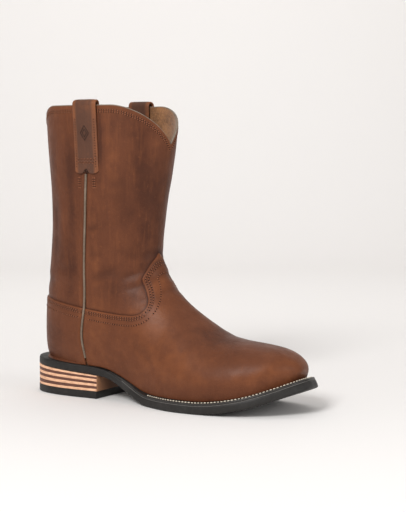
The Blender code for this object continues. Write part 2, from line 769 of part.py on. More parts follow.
def build_straps(leather):
    """A pull strap on each side, folded over the collar from outside to inside."""
    profile = strap_profile()
    direction = np.gradient(profile, axis=0)
    direction = direction / np.linalg.norm(direction, axis=1, keepdims=True)
    across = np.linspace(-STRAP_WIDTH / 2, STRAP_WIDTH / 2, 6)
    for side, name in ((-1.0, "pull_strap_lateral"), (1.0, "pull_strap_medial")):
        rows = []
        for (height, stand), (climb, away) in zip(profile, direction):
            level = np.full(len(across), min(height, COLLAR_Z - 1))
            lean = STRAP_LEAN * (level[0] - STRAP_FOOT_Z) / (COLLAR_Z - STRAP_FOOT_Z)
            found = surface_at(STRAP_X - lean + across, level, side)
            wall = upper_surface(found[:, 0], side, found[:, 1])
            lift = outward(found[:, 0], side, found[:, 1]) * [1, 1, 0]
            lift = lift / np.linalg.norm(lift, axis=1, keepdims=True)
            wall[:, 2] = height
            half = STRAP_THICK / 2
            outer = wall + lift * (stand + climb * half) + [0, 0, -away * half]
            inner = wall + lift * (stand - climb * half) + [0, 0, away * half]
            rows.append(np.concatenate([outer, inner[::-1]]))
        points = np.array(rows).reshape(-1, 3)
        count = 2 * len(across)
        faces = strip_faces(len(rows), count, ring=True)
        last = (len(rows) - 1) * count
        faces.append(tuple(range(count)))
        faces.append(tuple(last + i for i in range(count)))
        add_object(name, points, faces, leather, 50)


def clear_scene():
    for obj in list(bpy.data.objects):
        bpy.data.objects.remove(obj)


def build():
    clear_scene()
    leather = material("shaft_leather", (0.16, 0.055, 0.028), 0.5)
    overlay = material("vamp_leather", (0.2, 0.07, 0.032), 0.45)
    cord = material("piping_cord", (0.3, 0.25, 0.2), 0.6)
    rubber = material("black_rubber", (0.02, 0.02, 0.021), 0.6)
    welt = material("welt_leather", (0.025, 0.024, 0.024), 0.55)
    tan = material("tan_lift", (0.62, 0.36, 0.21), 0.7)
    dark = material("dark_lift", (0.1, 0.035, 0.02), 0.7)
    lining = material("insole_leather", (0.45, 0.25, 0.12), 0.8)
    build_outsole(rubber)
    build_insole(lining)
    build_welt(welt)
    build_heel(tan, dark, rubber)
    build_upper(leather, overlay)
    build_piping(cord)
    build_binding(cord)
    build_straps(leather)


build()
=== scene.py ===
import bmesh
import bpy
import numpy as np
from math import radians, pi
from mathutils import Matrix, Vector


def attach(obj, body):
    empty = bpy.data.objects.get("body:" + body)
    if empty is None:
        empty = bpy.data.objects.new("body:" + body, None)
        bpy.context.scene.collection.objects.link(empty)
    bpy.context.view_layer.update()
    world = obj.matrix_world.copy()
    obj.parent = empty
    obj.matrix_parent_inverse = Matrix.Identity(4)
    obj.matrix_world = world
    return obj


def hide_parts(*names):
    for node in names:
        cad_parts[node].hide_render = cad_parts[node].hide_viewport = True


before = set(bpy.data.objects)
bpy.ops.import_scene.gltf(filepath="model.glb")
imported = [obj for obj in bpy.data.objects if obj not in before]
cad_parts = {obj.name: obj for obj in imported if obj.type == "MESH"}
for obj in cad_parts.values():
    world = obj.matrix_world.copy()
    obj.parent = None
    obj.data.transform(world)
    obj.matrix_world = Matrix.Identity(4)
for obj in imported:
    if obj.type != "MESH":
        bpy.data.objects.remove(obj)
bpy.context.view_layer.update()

# Roper boot, right foot. Sizes in mm: x from the back of the outsole's heel to its toe,
# y minus on the lateral side, z up from the floor. mm turns them into the frame's metres.
mm = 0.001
body = "root"

boot = {
    "length": 305.0,
    "gap": 0.3,
    "outsoleThick": 7.7,
    "waistThick": 6.4,
    "weltThick": 2.8,
    "weltStart": 100.0,
    "weltTaper": 26.0,
    "weltEndRoom": 1.15,
    "wall": 2.4,
    "breast": 88.0,
    "capThick": 7.4,
}
heelBack = np.array([boot["length"] / 2, 0, 0])

# share of the length, half widths, ledge of the outsole outside the upper
outlineTable = {
    "share":   [0, .03, .09, .18, .29, .40, .50, .60, .70, .80, .90, .965, 1],
    "lateral": [0, 21.5, 31, 34.5, 34, 35, 45, 54.5, 55, 51.5, 40.5, 24.5, 0],
    "medial":  [0, 21.5, 31, 34, 33, 27.5, 32, 45, 54, 54.5, 47, 34, 0],
    "ledge":   [11.6, 9.5, 6, 4.5, 4, 4, 7, 8.5, 8, 8, 8.5, 9, 9.5],
}
bottomTable = {
    "x": [0, 44, 88, 98, 110, 124, 138, 150, 160, 212, 238, 262, 284, 305],
    "z": [28, 25.4, 22.8, 21.6, 17, 9.8, 4, .8, 0, 0, 3, 8.3, 15.8, 24.6],
}
# sections of the upper: front point, turn round the outline or back point where the section ends,
# half widths, share of the height where it is widest, roundness in front of and behind that
footTable = {
    "frontX": [294.5, 293.6, 290, 282.5, 271, 256, 236, 216, 199, 184, 169, 155, 146.5, 141.5, 138.6, 138.4],
    "frontZ": [38, 42, 47.5, 53, 57.6, 60.2, 62.4, 66.4, 75.5, 85, 95.5, 107.5, 119, 129, 138.5, 151],
    "turn": [180, 170, 160, 150, 141, 132.5, 123, 113, 103, 93, 82, 69, 54, 38, 20, 0],
    "lateral": [.5, 8, 17, 25.5, 33.5, 41.5, 47, 49.5, 48, 44, 39, 36.5, 36, 36.5, 37, 37.6],
    "medial": [.5, 8.5, 20.5, 32, 40.5, 45.5, 48, 47.5, 42.5, 37.5, 34.5, 34.5, 35.5, 36.5, 37, 37.6],
    "level": [.3, .3, .3, .3, .28, .26, .26, .27, .3, .34, .4, .48, .52, .53, .53, .53],
    "front": [2, 2, 2.1, 2.2, 2.2, 2.1, 2, 1.9, 1.8, 1.8, 1.8, 1.9, 1.9, 1.95, 2, 2],
    "back": [2, 2, 2, 2, 2, 2, 2, 2, 2, 2, 2.05, 2.15, 2.3, 2.4, 2.4, 2.4],
}
legWidths = [38, 39, 40, 41.5, 43, 45, 46.3, 47, 48, 48.8]
legTable = {
    "frontX": [139.4, 140.8, 142.4, 144, 146, 148.2, 149.8, 151.4, 154.4, 157.4],
    "frontZ": [161.5, 172, 182.5, 193.5, 206, 218, 227.5, 236, 262, 290],
    "backX": [9.4, 9, 11.5, 15, 17.4, 18, 17, 15.2, 13.4, 11.6],
    "backZ": [52, 68, 90, 115, 145, 180, 212, 236, 262, 290],
    "lateral": legWidths, "medial": legWidths,
    "level": [.53, .52, .52, .51, .5, .5, .5, .5, .5, .5],
    "front": [2] * 10,
    "back": [2.4, 2.35, 2.25, 2.15, 2.05, 2, 2, 2, 2, 2],
}
collar = {"height": 284.0, "frontDip": 37.0, "frontSpan": 66.0, "backDip": 27.0, "backSpan": 54.0,
          "bandRow": 7, "bandZ": 236.0, "topZ": 290.0}
vampLine = {
    "x": [-5, 24, 51, 79, 102, 124, 133.5, 140, 143, 143.2, 140.5, 136.8, 133.4, 135.2, 136.8, 138.8,
          139.2, 142.4, 151],
    "z": [99, 96, 92, 88, 85.5, 84.2, 84.6, 87.5, 92, 97, 104, 111, 118, 126, 131.5, 138, 143.5, 149.5, 156],
}
seamTable = {"z": [20, 42, 58, 90, 130, 180, 260], "x": [76, 74, 72, 76.3, 78.2, 82.6, 90]}


# curves and the sole's heights
def curve(xs, ys, x):
    xs, ys = np.asarray(xs, float), np.asarray(ys, float)
    x = np.clip(np.asarray(x, float), xs[0], xs[-1])
    step = np.diff(xs)
    rise = np.diff(ys) / step
    slope = np.empty(len(xs))
    slope[1:-1] = (step[1:] * rise[:-1] + step[:-1] * rise[1:]) / (step[1:] + step[:-1])
    slope[0] = 1.5 * rise[0] - 0.5 * slope[1]
    slope[-1] = 1.5 * rise[-1] - 0.5 * slope[-2]
    i = np.clip(np.searchsorted(xs, x, side="right") - 1, 0, len(step) - 1)
    t = (x - xs[i]) / step[i]
    start = (2 * t**3 - 3 * t**2 + 1) * ys[i] + (t**3 - 2 * t**2 + t) * slope[i] * step[i]
    return start + (3 * t**2 - 2 * t**3) * ys[i + 1] + (t**3 - t**2) * slope[i + 1] * step[i]


def clamped(x):
    return np.clip(x, 0, 1)


def smoothStep(low, high, x):
    t = clamped((np.asarray(x, float) - low) / (high - low))
    return t * t * (3 - 2 * t)


def hump(x, width):
    return np.exp(-(x / width)**2)


def lengthAlong(points):
    steps = np.linalg.norm(np.diff(points, axis=0), axis=1)
    return np.concatenate([[0], np.cumsum(steps)])


def unit(v):
    return v / np.maximum(np.linalg.norm(v, axis=-1, keepdims=True), 1e-9)


stationTurn = np.arccos(1 - 2 * np.array(outlineTable["share"], float))
ringTurn = np.concatenate([stationTurn, 2 * pi - stationTurn[-2::-1]])
ringWidth = np.concatenate([-np.array(outlineTable["lateral"], float),
                            np.array(outlineTable["medial"], float)[-2::-1]])
longTurn = np.concatenate([ringTurn[:-1] - 2 * pi, ringTurn, ringTurn[1:] + 2 * pi])
longWidth = np.concatenate([ringWidth[:-1], ringWidth, ringWidth[1:]])


def outline(turn, inset=0.0):      # turn 0 heel, pi toe, past pi the medial side
    turn = np.asarray(turn, float)
    ahead, behind = turn + .001, turn - .001
    alongX = boot["length"] / 2 * (np.cos(behind) - np.cos(ahead))
    alongY = curve(longTurn, longWidth, ahead) - curve(longTurn, longWidth, behind)
    size = np.hypot(alongX, alongY)
    x = boot["length"] / 2 * (1 - np.cos(turn)) - alongY / size * inset
    return x, curve(longTurn, longWidth, turn) + alongX / size * inset


def ledge(turn):
    return curve(stationTurn, outlineTable["ledge"], np.minimum(turn, 2 * pi - turn))


def bottom(x):
    return np.maximum(curve(bottomTable["x"], bottomTable["z"], x), 0.0)


def soleSlope(x):
    return (bottom(x + 1) - bottom(x - 1)) / 2


def outsoleThick(x):
    waist = smoothStep(85, 110, x) * (1 - smoothStep(125, 160, x))
    return boot["outsoleThick"] + (boot["waistThick"] - boot["outsoleThick"]) * waist


def aboveSole(x, y, height):       # square to the outsole's underside
    slope = soleSlope(x)
    size = np.hypot(1, slope)
    return np.stack([x - slope / size * height, y + 0 * x, bottom(x) + height / size], -1)


def weltRise(x):
    start = boot["weltEndRoom"] * smoothStep(boot["weltStart"] - 26, boot["weltStart"] - 8, x)
    full = boot["gap"] + boot["weltThick"] - boot["weltEndRoom"]
    toe = boot["gap"] * smoothStep(boot["length"] - 32, boot["length"] - 14, x)
    return start + toe + full * smoothStep(boot["weltStart"] - 4, boot["weltStart"] + boot["weltTaper"], x)


def featherLine(turn):
    x, y = outline(turn, ledge(turn))
    return aboveSole(x, y, outsoleThick(x) + boot["gap"] + weltRise(x))


# the upper's surface: station is the distance along the front line, share runs up a section
station = lengthAlong(np.array([footTable[key] + legTable[key] for key in ("frontX", "frontZ")]).T)
footRows = len(footTable["turn"])
heelStation = station[footRows - 1]
bandStation = station[footRows + collar["bandRow"]]


def byStation(name, s):
    return curve(station, footTable[name] + legTable[name], s)


def sectionTurn(s):
    return np.clip(curve(station[:footRows], footTable["turn"], np.minimum(s, heelStation)), 0, 180)


def sectionEnd(s, side):
    turn = np.radians(sectionTurn(s))
    end = featherLine(np.where(side < 0, turn, 2 * pi - turn))
    rear = featherLine(np.array([0.0]))[0]
    legStations = station[footRows - 1:]
    heel = np.stack([curve(legStations, [rear[0]] + legTable["backX"], s), 0.0 * s,
                     curve(legStations, [rear[2]] + legTable["backZ"], s)], -1)
    return np.where((s > heelStation)[..., None], heel, end)


def upperSurface(s, side, share):
    s, side, share = np.broadcast_arrays(s, side, share)
    end = sectionEnd(s, side)
    width = np.where(side < 0, byStation("lateral", s), byStation("medial", s))
    width = np.maximum(width, np.abs(end[..., 1]) * 1.01 + .05)
    level = byStation("level", s)
    front, back = 2 / byStation("front", s), 2 / byStation("back", s)
    start = np.arcsin((np.abs(end[..., 1]) / width) ** (1 / back))
    angle = start + (pi - start) * share
    sine, cosine = np.maximum(np.sin(angle), 0), np.abs(np.cos(angle))
    behind = angle < pi / 2
    up = np.where(behind, level * (1 - (cosine / np.cos(start)) ** back),
                  level + (1 - level) * cosine ** front)
    out = width * sine ** np.where(behind, back, front)
    x = end[..., 0] + (byStation("frontX", s) - end[..., 0]) * up
    z = end[..., 2] + (byStation("frontZ", s) - end[..., 2]) * up
    return np.stack([x, side * out, z], -1)


def topline(share):
    fromFront = 180 * (1 - share)
    front = clamped(1 - fromFront / collar["frontSpan"])
    back = clamped(1 - (180 - fromFront) / collar["backSpan"])
    return collar["height"] - collar["frontDip"] * front**1.6 - collar["backDip"] * back**1.6


def collarStation(share):
    climb = (topline(share) - collar["bandZ"]) / (collar["topZ"] - collar["bandZ"])
    return bandStation + climb * (station[-1] - bandStation)


def surfaceAt(x, z, side):         # station and share of the points seen from the side at (x, z)
    stations, shares = np.meshgrid(np.linspace(2, station[-1], 160), np.linspace(.02, .98, 60))
    seen = upperSurface(stations, side, shares)[..., [0, 2]].reshape(-1, 2)
    targets = np.stack(np.broadcast_arrays(x, z), -1).reshape(-1, 2).astype(float)
    near = [np.argmin(((seen - target)**2).sum(1)) for target in targets]
    guess = np.column_stack([stations.ravel()[near], shares.ravel()[near]])
    for _ in range(10):
        here, aheadS, aheadV = (upperSurface(guess[:, 0] + ds, side, guess[:, 1] + dv)[:, [0, 2]]
                                for ds, dv in ((0, 0), (.01, 0), (0, 1e-4)))
        byS, byV = (aheadS - here) / .01, (aheadV - here) / 1e-4
        size = byS[:, 0] * byV[:, 1] - byS[:, 1] * byV[:, 0]
        size = np.where(np.abs(size) < 1e-9, 1e-9, size)
        off = targets - here
        step = np.column_stack([(off[:, 0] * byV[:, 1] - off[:, 1] * byV[:, 0]) / size,
                                (byS[:, 0] * off[:, 1] - byS[:, 1] * off[:, 0]) / size])
        guess = np.clip(guess + np.clip(step, [-8, -.08], [8, .08]), [.5, .001], [station[-1], .999])
    return guess


def outward(s, side, share):
    s, side, share = np.broadcast_arrays(s, side, share)
    share = np.clip(share, .002, .998)
    byS = upperSurface(s + .05, side, share) - upperSurface(s - .05, side, share)
    byV = upperSurface(s, side, share + 1e-3) - upperSurface(s, side, share - 1e-3)
    return unit(np.cross(byS, byV) * side[..., None])


# patches: points, normals and faces of one skin
def upperGrid(across):
    ease = np.linspace(.12, 1, 7)
    toe = .8 + (station[4] - .8) * ease**1.7
    fine = np.linspace(0, heelStation, 600)
    foot = np.interp(-np.linspace(footTable["turn"][4], 0, 26), -sectionTurn(fine), fine)[1:]
    foot[-1] = heelStation
    leg = np.linspace(heelStation, bandStation, 9)[1:]
    shares = np.linspace(0, 1, across + 1)

    def row(stations):
        lateral = upperSurface(stations, -1.0, shares)
        return np.concatenate([lateral, upperSurface(stations, 1.0, shares)[-2::-1]])

    grid = [row(np.full(across + 1, s)) for s in np.concatenate([toe, foot, leg])]
    grid += [row(bandStation + climb * (collarStation(shares) - bandStation)) for climb in (.25, .5, .75, 1)]
    grid = np.array(grid)
    heelRow = len(toe) + len(foot) - 1
    first, last = heelRow - 9, heelRow + 4
    for _ in range(10):            # evens out the rows that fan round the heel
        mean = (grid[first - 1:last - 1, 1:-1] + grid[first + 1:last + 1, 1:-1]) / 2
        grid[first:last, 1:-1] = (grid[first:last, 1:-1] + mean) / 2
    return grid, heelRow


def finerRows(grid, heelRow, count):
    # smooth curves down every column, but with a corner at the heel in the outermost ones
    step = np.linalg.norm(np.diff(grid[:, 20:-20:10], axis=0), axis=-1).mean(1)
    at = np.concatenate([[0], np.cumsum(step)])
    before = np.linspace(0, at[heelRow], int(count * at[heelRow] / at[-1]))
    after = np.linspace(at[heelRow], at[-1], count - len(before) + 1)[1:]

    def drawn(xs, x, rows):
        weights = np.stack([curve(xs, row, x) for row in np.eye(len(xs))], 1)
        return np.einsum("ij,jkl->ikl", weights, rows)

    smooth = drawn(at, np.concatenate([before, after]), grid)
    cornered = np.concatenate([drawn(at[:heelRow + 1], before, grid[:heelRow + 1]),
                               drawn(at[heelRow:], after, grid[heelRow:])])
    columns = np.arange(grid.shape[1])
    fromEdge = np.minimum(columns, grid.shape[1] - 1 - columns) / (grid.shape[1] * .05)
    mix = np.clip(1 - fromEdge, 0, 1)[None, :, None]
    return smooth * (1 - mix) + cornered * mix, len(before) - 1


def pointNormals(points, faces):
    normals = np.zeros_like(points)
    a, b, c, d = (points[faces[:, k]] for k in range(4))
    facing = np.cross(c - a, d - b)
    for k in range(4):
        np.add.at(normals, faces[:, k], facing)
    return unit(normals)


def upperPatch(across, rows):
    # columns of the result: point, normal, then the fields that the pieces are cut by
    grid, heelRow = upperGrid(across)
    grid, heelRow = finerRows(grid, heelRow, rows)
    rows, width = grid.shape[:2]
    tip = featherLine(np.array([pi]))
    index = np.arange(rows * width).reshape(rows, width)
    index[heelRow:, -1] = index[heelRow:, 0]        # one back line
    a, b, c, d = index[:-1, :-1], index[:-1, 1:], index[1:, 1:], index[1:, :-1]
    faces = np.stack([a, b, c, d], -1).reshape(-1, 4)
    last = np.full(width - 1, rows * width)
    faces = np.concatenate([faces, np.stack([index[0, 1:], index[0, :-1], last, last], -1)])
    points = np.concatenate([grid.reshape(-1, 3), tip])
    normals = pointNormals(points, faces)
    edge = np.concatenate([[rows * width], index[:heelRow + 1, 0], index[:heelRow + 1, -1]])
    normals[edge, 2] = normals[edge, 0] * soleSlope(points[edge, 0])
    faces = [tuple(dict.fromkeys(f)) for f in faces.tolist()]
    collarRow = grid[-1]
    flat = np.concatenate([np.tile(collarRow[:, 2], rows), tip[:, 2] + 200])
    return np.column_stack([points, unit(normals), flat - points[:, 2]]), faces


def splitPatch(data, faces, column, level):
    # puts an edge loop where the column has this level; gives the faces above and below it
    field = (data[:, column] - level).tolist()
    rows, made, above, below, cuts = [], {}, [], [], []

    def crossing(a, b):
        key = (a, b) if a < b else (b, a)
        if key not in made:
            t = min(max(field[a] / (field[a] - field[b]), .02), .98)
            rows.append(data[a] + t * (data[b] - data[a]))
            made[key] = len(data) + len(rows) - 1
        return made[key]

    for face in faces:
        upper, lower, hits = [], [], []
        for a, b in zip(face, face[1:] + face[:1]):
            (upper if field[a] > 0 else lower).append(a)
            if (field[a] > 0) != (field[b] > 0):
                for part in (hits, upper, lower):
                    part.append(crossing(a, b))
        if len(hits) == 2:
            cuts.append(tuple(hits))
        if len(upper) > 2:
            above.append(tuple(upper))
        if len(lower) > 2:
            below.append(tuple(lower))
    data = np.vstack([data] + rows) if rows else data
    data[:, 3:6] = unit(data[:, 3:6])
    return data, above, below, cuts


def chains(edges):
    # joins edges end to end into lines of point numbers
    ways = {}
    for a, b in edges:
        ways.setdefault(a, []).append(b)
        ways.setdefault(b, []).append(a)
    left = set(ways)
    lines = []
    for start in sorted(ways, key=lambda i: len(ways[i])):
        if start not in left:
            continue
        line = [start]
        left.discard(start)
        while True:
            nexts = [i for i in ways[line[-1]] if i in left]
            if not nexts:
                break
            line.append(nexts[0])
            left.discard(nexts[0])
        if len(line) > 5:
            lines.append(line)
    return lines


def contour(data, faces, column, level):
    # lines on a patch where the column has this level: points with normals and fields
    cut, _, _, edges = splitPatch(data, faces, column, level)
    return [cut[line] for line in chains(edges)]


def polylineDistance(seen, line):
    # distance to a line and how far along it, 0 to 1
    least, along = np.full(len(seen), 1e9), np.zeros(len(seen))
    for k, (a, b) in enumerate(zip(line[:-1], line[1:])):
        edge = b - a
        t = np.clip(((seen - a) @ edge) / max(edge @ edge, 1e-9), 0, 1)
        d = np.linalg.norm(seen - (a + t[:, None] * edge), axis=1)
        nearer = d < least
        least = np.where(nearer, d, least)
        along = np.where(nearer, (k + t) / (len(line) - 1), along)
    return least, along


def sideDistance(points, polygon):
    # distance to the polygon seen from the side, positive inside
    seen = np.asarray(points)[:, [0, 2]]
    inside = np.zeros(len(seen), bool)
    for a, b in zip(polygon, np.roll(polygon, -1, 0)):
        edge = b - a
        at = a[0] + (seen[:, 1] - a[1]) / (b[1] - a[1] + 1e-12) * edge[0]
        inside ^= ((a[1] > seen[:, 1]) != (b[1] > seen[:, 1])) & (seen[:, 0] < at)
    least, _ = polylineDistance(seen, np.concatenate([polygon, polygon[:1]]))
    return np.where(inside, least, -least)


def smoothLine(xs, zs, count):
    at = lengthAlong(np.column_stack([xs, zs]))
    fine = np.linspace(0, at[-1], count)
    return np.column_stack([curve(at, xs, fine), curve(at, zs, fine)])


def vampPolygon():
    line = smoothLine(vampLine["x"], vampLine["z"], 120)
    return np.concatenate([line, [(330, 158), (330, -20), (-5, -20)]])


def seamX(z):
    return curve(seamTable["z"], seamTable["x"], z)


# creases, each a line seen from the side: side -1 lateral, 1 medial, 0 right across the front, then
# x and z of the line, and the width and depth (mm) of a trough with a low ridge on either side
creases = [
    (0, [139, 131, 121, 110], [133, 126, 121, 119], 3.4, .5),
    (0, [144, 137, 128, 119], [122, 114, 110, 109], 3.6, .42),
    (0, [141, 135, 129], [146, 141, 138], 3.0, .32),
    (0, [155, 147, 138, 131], [108, 101, 98, 97.5], 3.8, .36),
    (-1, [84, 95, 107, 113], [118, 121, 126, 133], 4.5, .75),
    (-1, [83, 90, 99], [166, 167, 171], 3.0, .7),
    (-1, [83, 91, 101], [143, 141, 142], 3.6, .45),
    (-1, [71, 62, 51, 40], [131, 127, 125, 126], 4.2, .55),
    (-1, [16, 27, 40], [116, 113, 116], 4.4, .6),
    (-1, [112, 118, 126, 132], [150, 143, 139, 139], 3.8, .5),
    (1, [84, 96, 108, 115], [122, 124, 128, 137], 4.4, .8),
    (1, [70, 60, 48, 38], [134, 129, 128, 131], 4.0, .6),
    (1, [83, 92, 103], [158, 160, 165], 3.2, .55),
    (1, [15, 27, 41], [121, 117, 119], 4.4, .6),
    (0, [206, 199, 190, 181], [72, 62, 53, 47], 5.5, .14),
    (0, [219, 213, 205, 199], [66, 57, 47, 40], 6.0, .16),
    (0, [233, 228, 221, 216], [63, 54, 44, 37], 6.0, .12),
    (-1, [128, 140, 152, 161], [62, 56, 47, 37], 5.5, .4),
    (1, [118, 132, 146, 156], [66, 58, 48, 38], 5.5, .55),
    (-1, [18, 22, 25, 26], [232, 200, 170, 140], 5.0, .45),
    (-1, [40, 42, 42, 40], [210, 180, 150, 120], 5.5, .4),
    (-1, [119, 121, 121, 118], [232, 205, 180, 156], 8.0, .6),
    (1, [38, 41, 42, 40], [214, 182, 150, 122], 6.0, .5),
    (1, [122, 123, 121, 117], [236, 205, 180, 154], 8.0, .6),
]
# broad swells and hollows: side, middle (x, z), reach (x, z), height
swells = [
    (-1, 103, 200, 13, 42, .9), (-1, 137, 196, 10, 34, -.6), (-1, 52, 168, 14, 40, .5),
    (-1, 30, 196, 9, 40, -.5), (1, 103, 196, 14, 42, .8), (1, 136, 190, 10, 34, -.6),
    (1, 50, 172, 14, 40, .6), (-1, 96, 100, 15, 13, -.6), (1, 98, 100, 15, 13, -.6),
    (-1, 240, 40, 24, 12, .4), (1, 236, 40, 24, 12, .4), (-1, 120, 46, 20, 12, .5),
    (-1, 50, 66, 16, 18, .35), (1, 50, 66, 16, 18, .35),
]
# darker (minus) and lighter places: side, middle (x, z), reach (x, z), amount. Besides the leather's own
# tone they paint light and shade: painted shade down each shaft's front quarter, beside the lateral strap's
# front edge and over the vamp's ridge, and painted highlight between strap and that band, on the vamp's
# lateral side and on the toe
tonesAndLight = [
    # painted shade down the lateral front quarter, then painted highlight between the strap and that band
    (-1, 138, 218, 8, 62, -.95), (-1, 131, 160, 9, 34, -.55), (-1, 113, 212, 11, 55, .42),
    (-1, 154, 215, 6, 60, .55), (-1, 112, 264, 24, 7, -.22), (-1, 66, 214, 5, 56, -.60),
    (-1, 52, 205, 7, 62, .40), (-1, 41, 170, 4, 70, -.35), (-1, 60, 118, 5, 26, -.35),
    (-1, 91, 124, 6, 56, .32), (-1, 73, 130, 4, 60, .28), (-1, 118, 104, 20, 9, -.30),
    (-1, 108, 86, 26, 6, .40), (-1, 144, 112, 9, 24, .30), (-1, 40, 66, 22, 22, -.30),
    (-1, 92, 58, 14, 20, .35), (-1, 140, 60, 26, 20, .30), (-1, 196, 42, 30, 14, .45),
    # painted highlight on the vamp's side, then painted shadow beside the strap's front edge
    (-1, 236, 32, 36, 9, .55), (-1, 50, 60, 30, 26, -.35), (-1, 102.6, 250, 1.9, 26, -1.7),
    # painted shade over the vamp's ridge, painted highlight on the toe, painted shade down the medial front
    # quarter
    (0, 214, 70, 46, 7, -.35), (0, 283, 45, 14, 10, .25), (1, 138, 220, 9, 60, -.7),
    # painted highlight between the medial strap and its band
    (1, 112, 212, 11, 55, .35), (1, 52, 180, 10, 60, .3), (1, 64, 200, 5, 56, -.4),
    (1, 42, 64, 24, 20, -.3), (1, 150, 60, 30, 20, .25), (1, 230, 34, 40, 10, .3),
    (1, 92, 124, 6, 56, .3),
]
seamGroove = {"depth": 1.15, "width": 1.7, "shoulder": .45, "shoulderAt": 3.3, "shoulderWidth": 1.7}


def reliefOf(points, side):
    # how far the leather stands out from its plain form, and how deep it is creased (0 to 1)
    seen = points[:, [0, 2]]
    lift, deep = np.zeros(len(points)), np.zeros(len(points))
    for creaseSide, xs, zs, width, depth in creases:
        if creaseSide == -side:
            continue
        line = smoothLine(xs, zs, 14)
        near = np.abs(seen - line.mean(0)).max(1) < np.ptp(line, axis=0).max() + 5 * width
        d, along = polylineDistance(seen[near], line)
        ends = smoothStep(0, .3, 1 - along)
        if creaseSide:
            ends = ends * smoothStep(0, .3, along)
        trough, ridge = hump(d, width), hump(d - 2 * width, 1.1 * width)
        lift[near] += depth * ends * (.42 * ridge - trough)
        deep[near] += depth * ends * trough
    lift += placed(swells, points, side)
    d = np.abs(seen[:, 0] - seamX(seen[:, 1]))
    g = seamGroove
    below = smoothStep(-2, 3, 224 - seen[:, 1])
    lift += below * (g["shoulder"] * hump(d - g["shoulderAt"], g["shoulderWidth"])
                     - g["depth"] * hump(d, g["width"]))
    return lift, clamped(deep)


def placed(spots, points, sides):
    # sum of the spots of a table at these points
    total = np.zeros(len(points))
    for side, x, z, reachX, reachZ, amount in spots:
        here = amount * np.exp(-((points[:, 0] - x) / reachX)**2 - ((points[:, 2] - z) / reachZ)**2)
        total += here * (sides == side if side else 1)
    return total


def toneAndLightOf(points):
    # how much lighter or darker the leather is painted here, -1 to 1: its own pull-up tone together with
    # painted highlight and shade
    return np.clip(placed(tonesAndLight, points, np.where(points[:, 1] < 0, -1, 1)), -1, 1)


# meshes
def addObject(name, content):
    obj = bpy.data.objects.new(name, content)
    bpy.context.scene.collection.objects.link(obj)
    return obj


def addMesh(name, points, faces, material, smoothAngle=50, fields=None):
    mesh = bpy.data.meshes.new(name)
    metres = (np.asarray(points, float) - heelBack) * mm
    mesh.from_pydata(metres.tolist(), [], [tuple(int(i) for i in f) for f in faces])
    for field, values in (fields or {}).items():
        mesh.attributes.new(field, "FLOAT", "POINT").data.foreach_set("value", np.asarray(values, float))
    mesh.materials.append(material)
    mesh.shade_smooth()
    mesh.set_sharp_from_angle(angle=radians(smoothAngle))
    return addObject(name, mesh)


def dress(obj, slot, *nodes):
    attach(obj, body)
    if nodes:
        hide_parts(*nodes)
    return obj


def turnedOut(obj):
    work = bmesh.new()
    work.from_mesh(obj.data)
    bmesh.ops.recalc_face_normals(work, faces=work.faces)
    if work.calc_volume(signed=True) < 0:
        bmesh.ops.reverse_faces(work, faces=work.faces)
    work.to_mesh(obj.data)
    work.free()
    return obj


def openEdges(faces):
    edges = {}
    for face in faces:
        for a, b in zip(face, face[1:] + face[:1]):
            if (b, a) in edges:
                del edges[(b, a)]
            else:
                edges[(a, b)] = True
    return list(edges)


def ownPoints(data, faces):
    # rows of the patch that these faces use, and the faces numbered by them
    used = np.unique(np.concatenate([np.array(f) for f in faces]))
    place = np.zeros(len(data), int)
    place[used] = np.arange(len(used))
    return used, [tuple(int(place[i]) for i in f) for f in faces]


def skin(name, data, faces, lift, skirt, material, fields):
    # one face of leather at this lift above the patch, its open edges turned in by skirt
    used, solid = ownPoints(data, faces)
    lift = np.broadcast_to(lift, len(data))[used, None]
    points = data[used, :3] + data[used, 3:6] * lift
    rim = openEdges(solid)
    edge = np.unique(np.array(rim))
    turned = {int(i): len(points) + k for k, i in enumerate(edge)}
    solid += [(b, a, turned[a], turned[b]) for a, b in rim]
    inner = points[edge] - data[used[edge], 3:6] * skirt
    kept = {key: np.concatenate([v[used], v[used[edge]]]) for key, v in fields.items()}
    return addMesh(name, np.concatenate([points, inner]), solid, material, 60, kept)


def shell(name, data, faces, low, high, material):
    # closed wall between two offsets of a patch
    used, outer = ownPoints(data, faces)
    base, away, count = data[used, :3], data[used, 3:6], len(used)
    solid = outer + [tuple(count + i for i in reversed(f)) for f in outer]
    solid += [(b, a, count + a, count + b) for a, b in openEdges(outer)]
    return addMesh(name, np.concatenate([base + away * high, base + away * low]), solid, material, 60)


def loft(name, rings, material, smoothAngle=60, closed=False):
    # body through rings of as many points each, with its ends capped or joined
    rings = np.asarray(rings, float)
    rows, across = rings.shape[:2]
    faces = []
    for r in range(rows if closed else rows - 1):
        here, there = r * across, (r + 1) % rows * across
        for c in range(across):
            d = (c + 1) % across
            faces.append((here + c, here + d, there + d, there + c))
    if not closed:
        faces += [tuple(range(across)), tuple(range((rows - 1) * across, rows * across))]
    return turnedOut(addMesh(name, rings.reshape(-1, 3), faces, material, smoothAngle))


def tube(name, path, radius, material, up, sides=12, closed=False):
    along = np.roll(path, -1, 0) - np.roll(path, 1, 0) if closed else np.gradient(path, axis=0)
    across = unit(np.cross(unit(along), up))
    up = np.cross(across, unit(along))
    angles = 2 * pi * np.arange(sides) / sides
    rings = np.stack([path + radius * (np.cos(a) * across + np.sin(a) * up) for a in angles], 1)
    return loft(name, rings, material, closed=closed)


def spaced(line, pitch):
    # rows at equal distances along a line
    at = lengthAlong(line[:, :3])
    want = np.arange(.5 * pitch, at[-1] - .5 * pitch, pitch)
    return np.stack([np.interp(want, at, line[:, k]) for k in range(line.shape[1])], -1)


